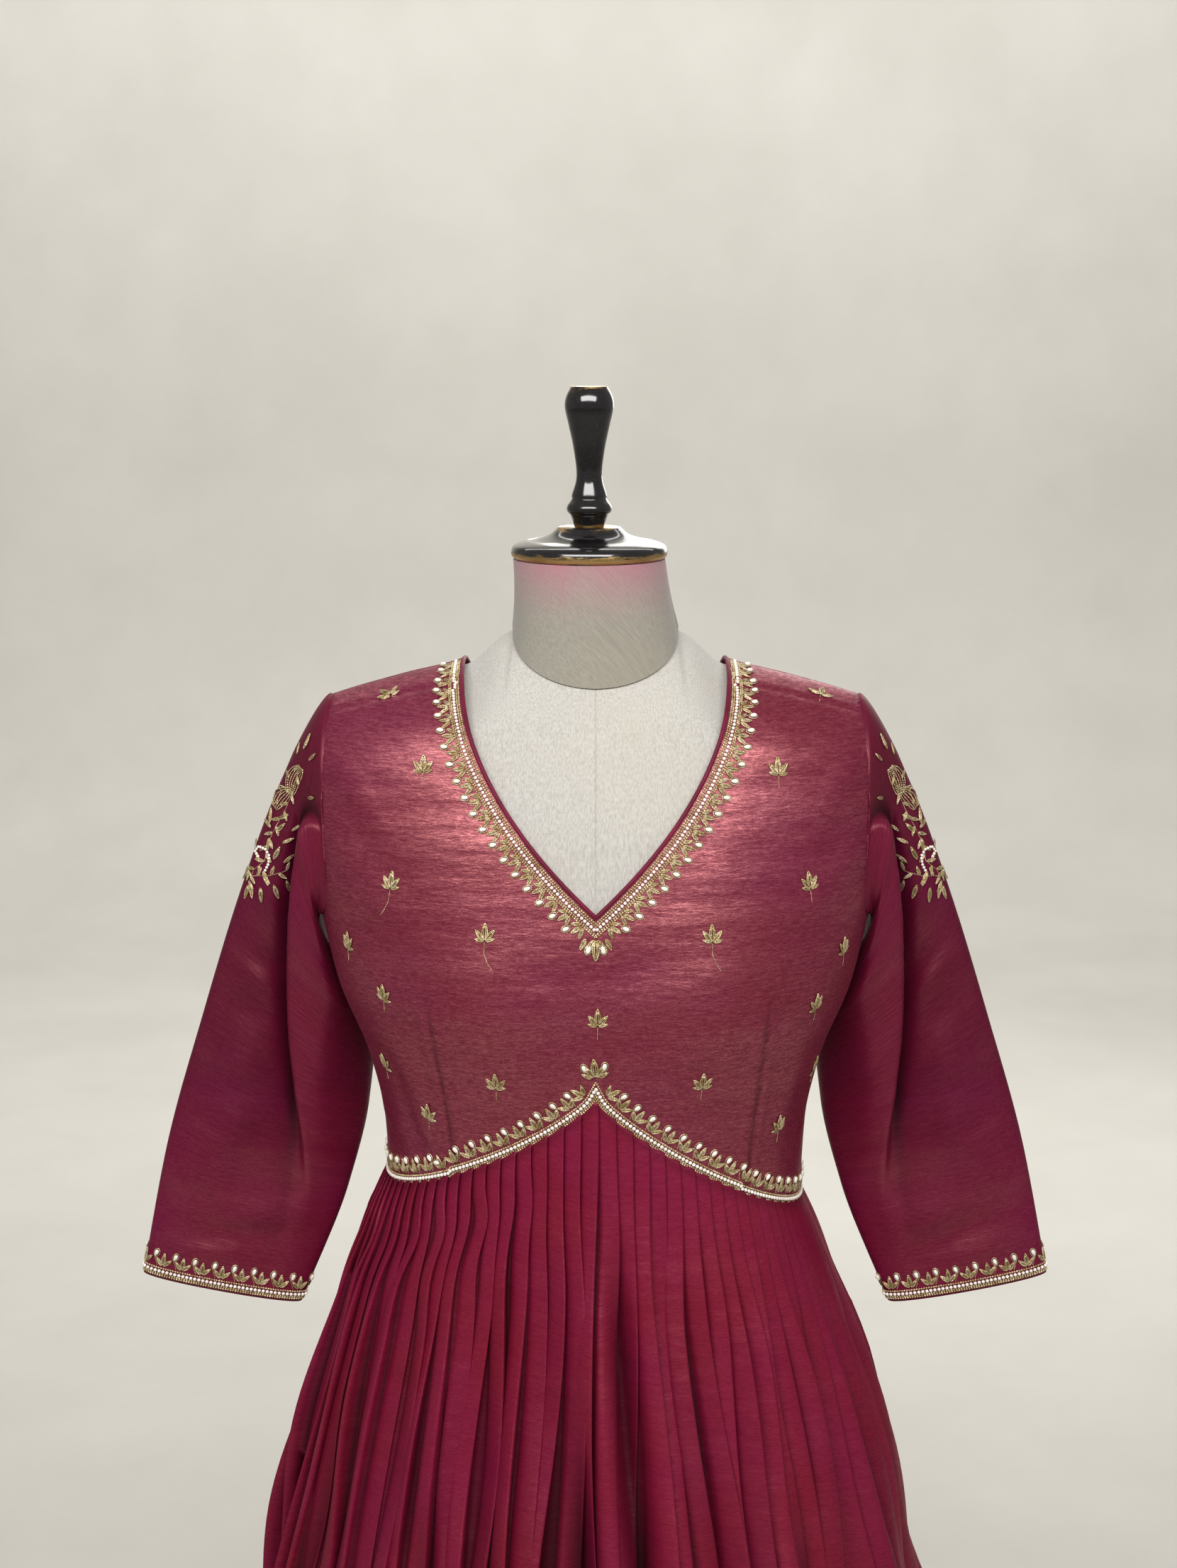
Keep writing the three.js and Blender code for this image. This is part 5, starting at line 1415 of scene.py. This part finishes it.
# ================================================================ sleeve embroidery
# A spray on the outside of each upper arm: combed paisley bodies, leaves, a curl of pearls and a
# row of leaves under it. It is laid on the front and wraps over the sleeve's outer edge.
SLEEVE_LEAVES = [             # x, drop, which way its tip points, length
    (-210, 62, 70, 11), (-216, 66, 120, 8), (-205, 68, 20, 8), (-223, 84, 150, 8),
    (-206, 96, 10, 8), (-224, 112, 200, 9), (-238, 119, 100, 10), (-238, 122, 150, 9),
    (-233, 125, 40, 9), (-239, 131, -100, 9), (-229, 133, 20, 8), (-236, 146, 60, 10),
    (-229, 148, 20, 9), (-247, 149, 120, 8), (-226, 156, -30, 8), (-244, 156, -70, 10),
    (-256, 158, 190, 10), (-262, 166, -110, 10), (-254, 166, -80, 10), (-246, 168, -90, 10),
    (-237, 166, -70, 10), (-228, 164, -60, 9), (-250, 138, 150, 8), (-222, 124, 30, 7)]
PAISLEYS = [                  # x and drop of its middle, leaning, length, width, combed rows
    (-217, 86, 66, 25, 11, 7), (-229, 101, 50, 20, 12, 7)]
PEARL_CURL = [(-243, 156), (-240, 150), (-239, 144), (-242, 139), (-247, 138), (-250, 142),
              (-247, 146)]
VINE = [(-214, 74), (-219, 92), (-226, 108), (-234, 122), (-240, 134), (-243, 148), (-252, 156),
        (-262, 160)]
LOWER_VINE = [(-264, 162), (-252, 160), (-240, 159), (-227, 155)]
VINE_LEAF = (7.6, 6.4, 7.6)


def on_sleeve(sign, x, drop):
    """A place on the sleeve's front, found straight behind the given x and drop. The tables are
    drawn for the gown's right sleeve, at -X."""
    tree = sleeve_trees[sign]
    x, z = -sign * x * MM, (SHOULDER_Z - drop) * MM
    spot = tree.ray_cast(Vector((x, -0.5, z)), Vector((0, 1, 0)))[0]
    if spot is None:
        spot = tree.find_nearest(Vector((x, -0.02, z)))[0]
    return np.array(spot) / MM


def beads_along(sign, line, pitch, kind, size, lift):
    points = [on_sleeve(sign, x, drop) for x, drop in line]
    rail = Rail(np.array(points), np.tile([0.0, 0, 1], (len(points), 1)), sleeve_trees[sign])
    return rail.row(kind, pitch, size, lift)


def combed_line(x, drop, degrees, length, width, aside):
    """One curved line of a paisley's combed body, aside from -1 to 1 across it."""
    angle = math.radians(degrees)
    line = []
    for t in np.linspace(0.04, 0.96, 9):
        off = width / 2 * aside * math.sqrt(max(0.0, 1 - (2 * t - 1) ** 2)) + 2.4 * math.sin(3 * t)
        line.append((x + (length * (t - 0.5)) * math.cos(angle) - off * math.sin(angle),
                     drop - (length * (t - 0.5)) * math.sin(angle) - off * math.cos(angle)))
    return line


for sign, hand_name in ((1, "left"), (-1, "right")):
    spray = []
    tree = sleeve_trees[sign]
    for x, drop, degrees, length in SLEEVE_LEAVES:
        angle = math.radians(degrees)
        heading = np.array([-sign * math.cos(angle), 0, math.sin(angle)])
        spray.append(("leaf", laid_leaf(tree, on_sleeve(sign, x, drop), heading, length, 0.35),
                      (length * 1.1, length * 0.85, length)))
    for line in (VINE, LOWER_VINE):
        for k, t in enumerate(np.arange(0, len(line) - 1, 0.42)):
            x, drop = (np.interp(t, range(len(line)), c) for c in zip(*line))
            ahead = np.array(line[min(int(t) + 1, len(line) - 1)]) - np.array(line[int(t)])
            angle = math.atan2(-ahead[1], ahead[0]) + math.radians(52 if k % 2 else -52)
            heading = np.array([-sign * math.cos(angle), 0, math.sin(angle)])
            spray.append(("leaf", set_on(tree, on_sleeve(sign, x, drop), heading, 0.3), VINE_LEAF))
    for *body, rows in PAISLEYS:
        for aside in np.arange(rows) / (rows - 1) * 2 - 1:
            line = combed_line(*body, aside)
            spray += beads_along(sign, line, 1.7, "bead", (1.0, 0.5, 0.55), 0.5)
    for line in (VINE, LOWER_VINE):
        spray += beads_along(sign, line, 1.5, "bead", (0.9, 0.32, 0.3), 0.2)
    spray += beads_along(sign, PEARL_CURL, 2.4, "pearl", (1.15, 1.15, 1.15), 0.3)
    sewn_trim(f"sleeve_{hand_name}_spray", spray)

# ================================================================ studio
# A pale plastered floor that curves up into a wall far behind the gown, in soft light: one wide
# source above the camera, one on the wall, a weak one behind the gown, and a pale surround.
plaster = new_material("pale_plaster")
wall_place = wire(plaster, "TexCoord").outputs["Object"]
clouds = noise(plaster, wall_place, 2.2, 6, 0.6)
wall_colour = blended(plaster, ramp(plaster, clouds, (0.35, 0.0), (0.7, 1.0)),
                      (0.54, 0.523, 0.478), (0.585, 0.57, 0.525))
wall_surface = wire(plaster, "BsdfPrincipled", {"Roughness": 0.9, "Specular IOR Level": 0.1},
                    {"Base Color": wall_colour, "Normal": bumped(plaster, clouds, 0.15, 0.01)})
finish_material(plaster, wall_surface.outputs[0])
SWEEP = [(-7.0, 0.0), (4.4, 0.0), (4.8, 0.05), (5.15, 0.2), (5.4, 0.45), (5.55, 0.8), (5.6, 1.2),
         (5.6, 6.0)]          # y and z in metres, from the floor up into the wall
SWEEP_HALF_WIDTH = 8.0
bm = bmesh.new()
left_edge, right_edge = ([bm.verts.new((x, y, z)) for y, z in SWEEP]
                         for x in (-SWEEP_HALF_WIDTH, SWEEP_HALF_WIDTH))
for k in range(len(SWEEP) - 1):
    bm.faces.new((left_edge[k], right_edge[k], right_edge[k + 1], left_edge[k + 1]))
link_mesh("studio_sweep", mesh_from(bm, "studio_sweep"), plaster)


def soft_light(name, place, aim, size, power):
    data = bpy.data.lights.new(name, "AREA")
    data.shape = "RECTANGLE"
    data.size, data.size_y = size
    data.energy = power
    data.color = (1.0, 0.985, 0.97)
    light = bpy.data.objects.new(name, data)
    light.location = place
    light.rotation_euler = (Vector(aim) - Vector(place)).to_track_quat("-Z", "Y").to_euler()
    bpy.context.scene.collection.objects.link(light)


soft_light("front_softbox", (-0.1, -1.9, 2.75), (0, 0, 1.1), (3.0, 0.8), 88)
soft_light("wall_softbox", (0, 3.0, 4.2), (0, 5.2, 1.0), (6.0, 2.0), 185)
soft_light("back_fill", (0.8, 3.2, 2.2), (0, 0, 1.0), (2.2, 1.8), 30)
world = bpy.data.worlds.new("pale_surround")
world.use_nodes = True
surround = world.node_tree.nodes["Background"]
surround.inputs["Color"].default_value = (0.9, 0.88, 0.85, 1)
surround.inputs["Strength"].default_value = 0.34
bpy.context.scene.world = world
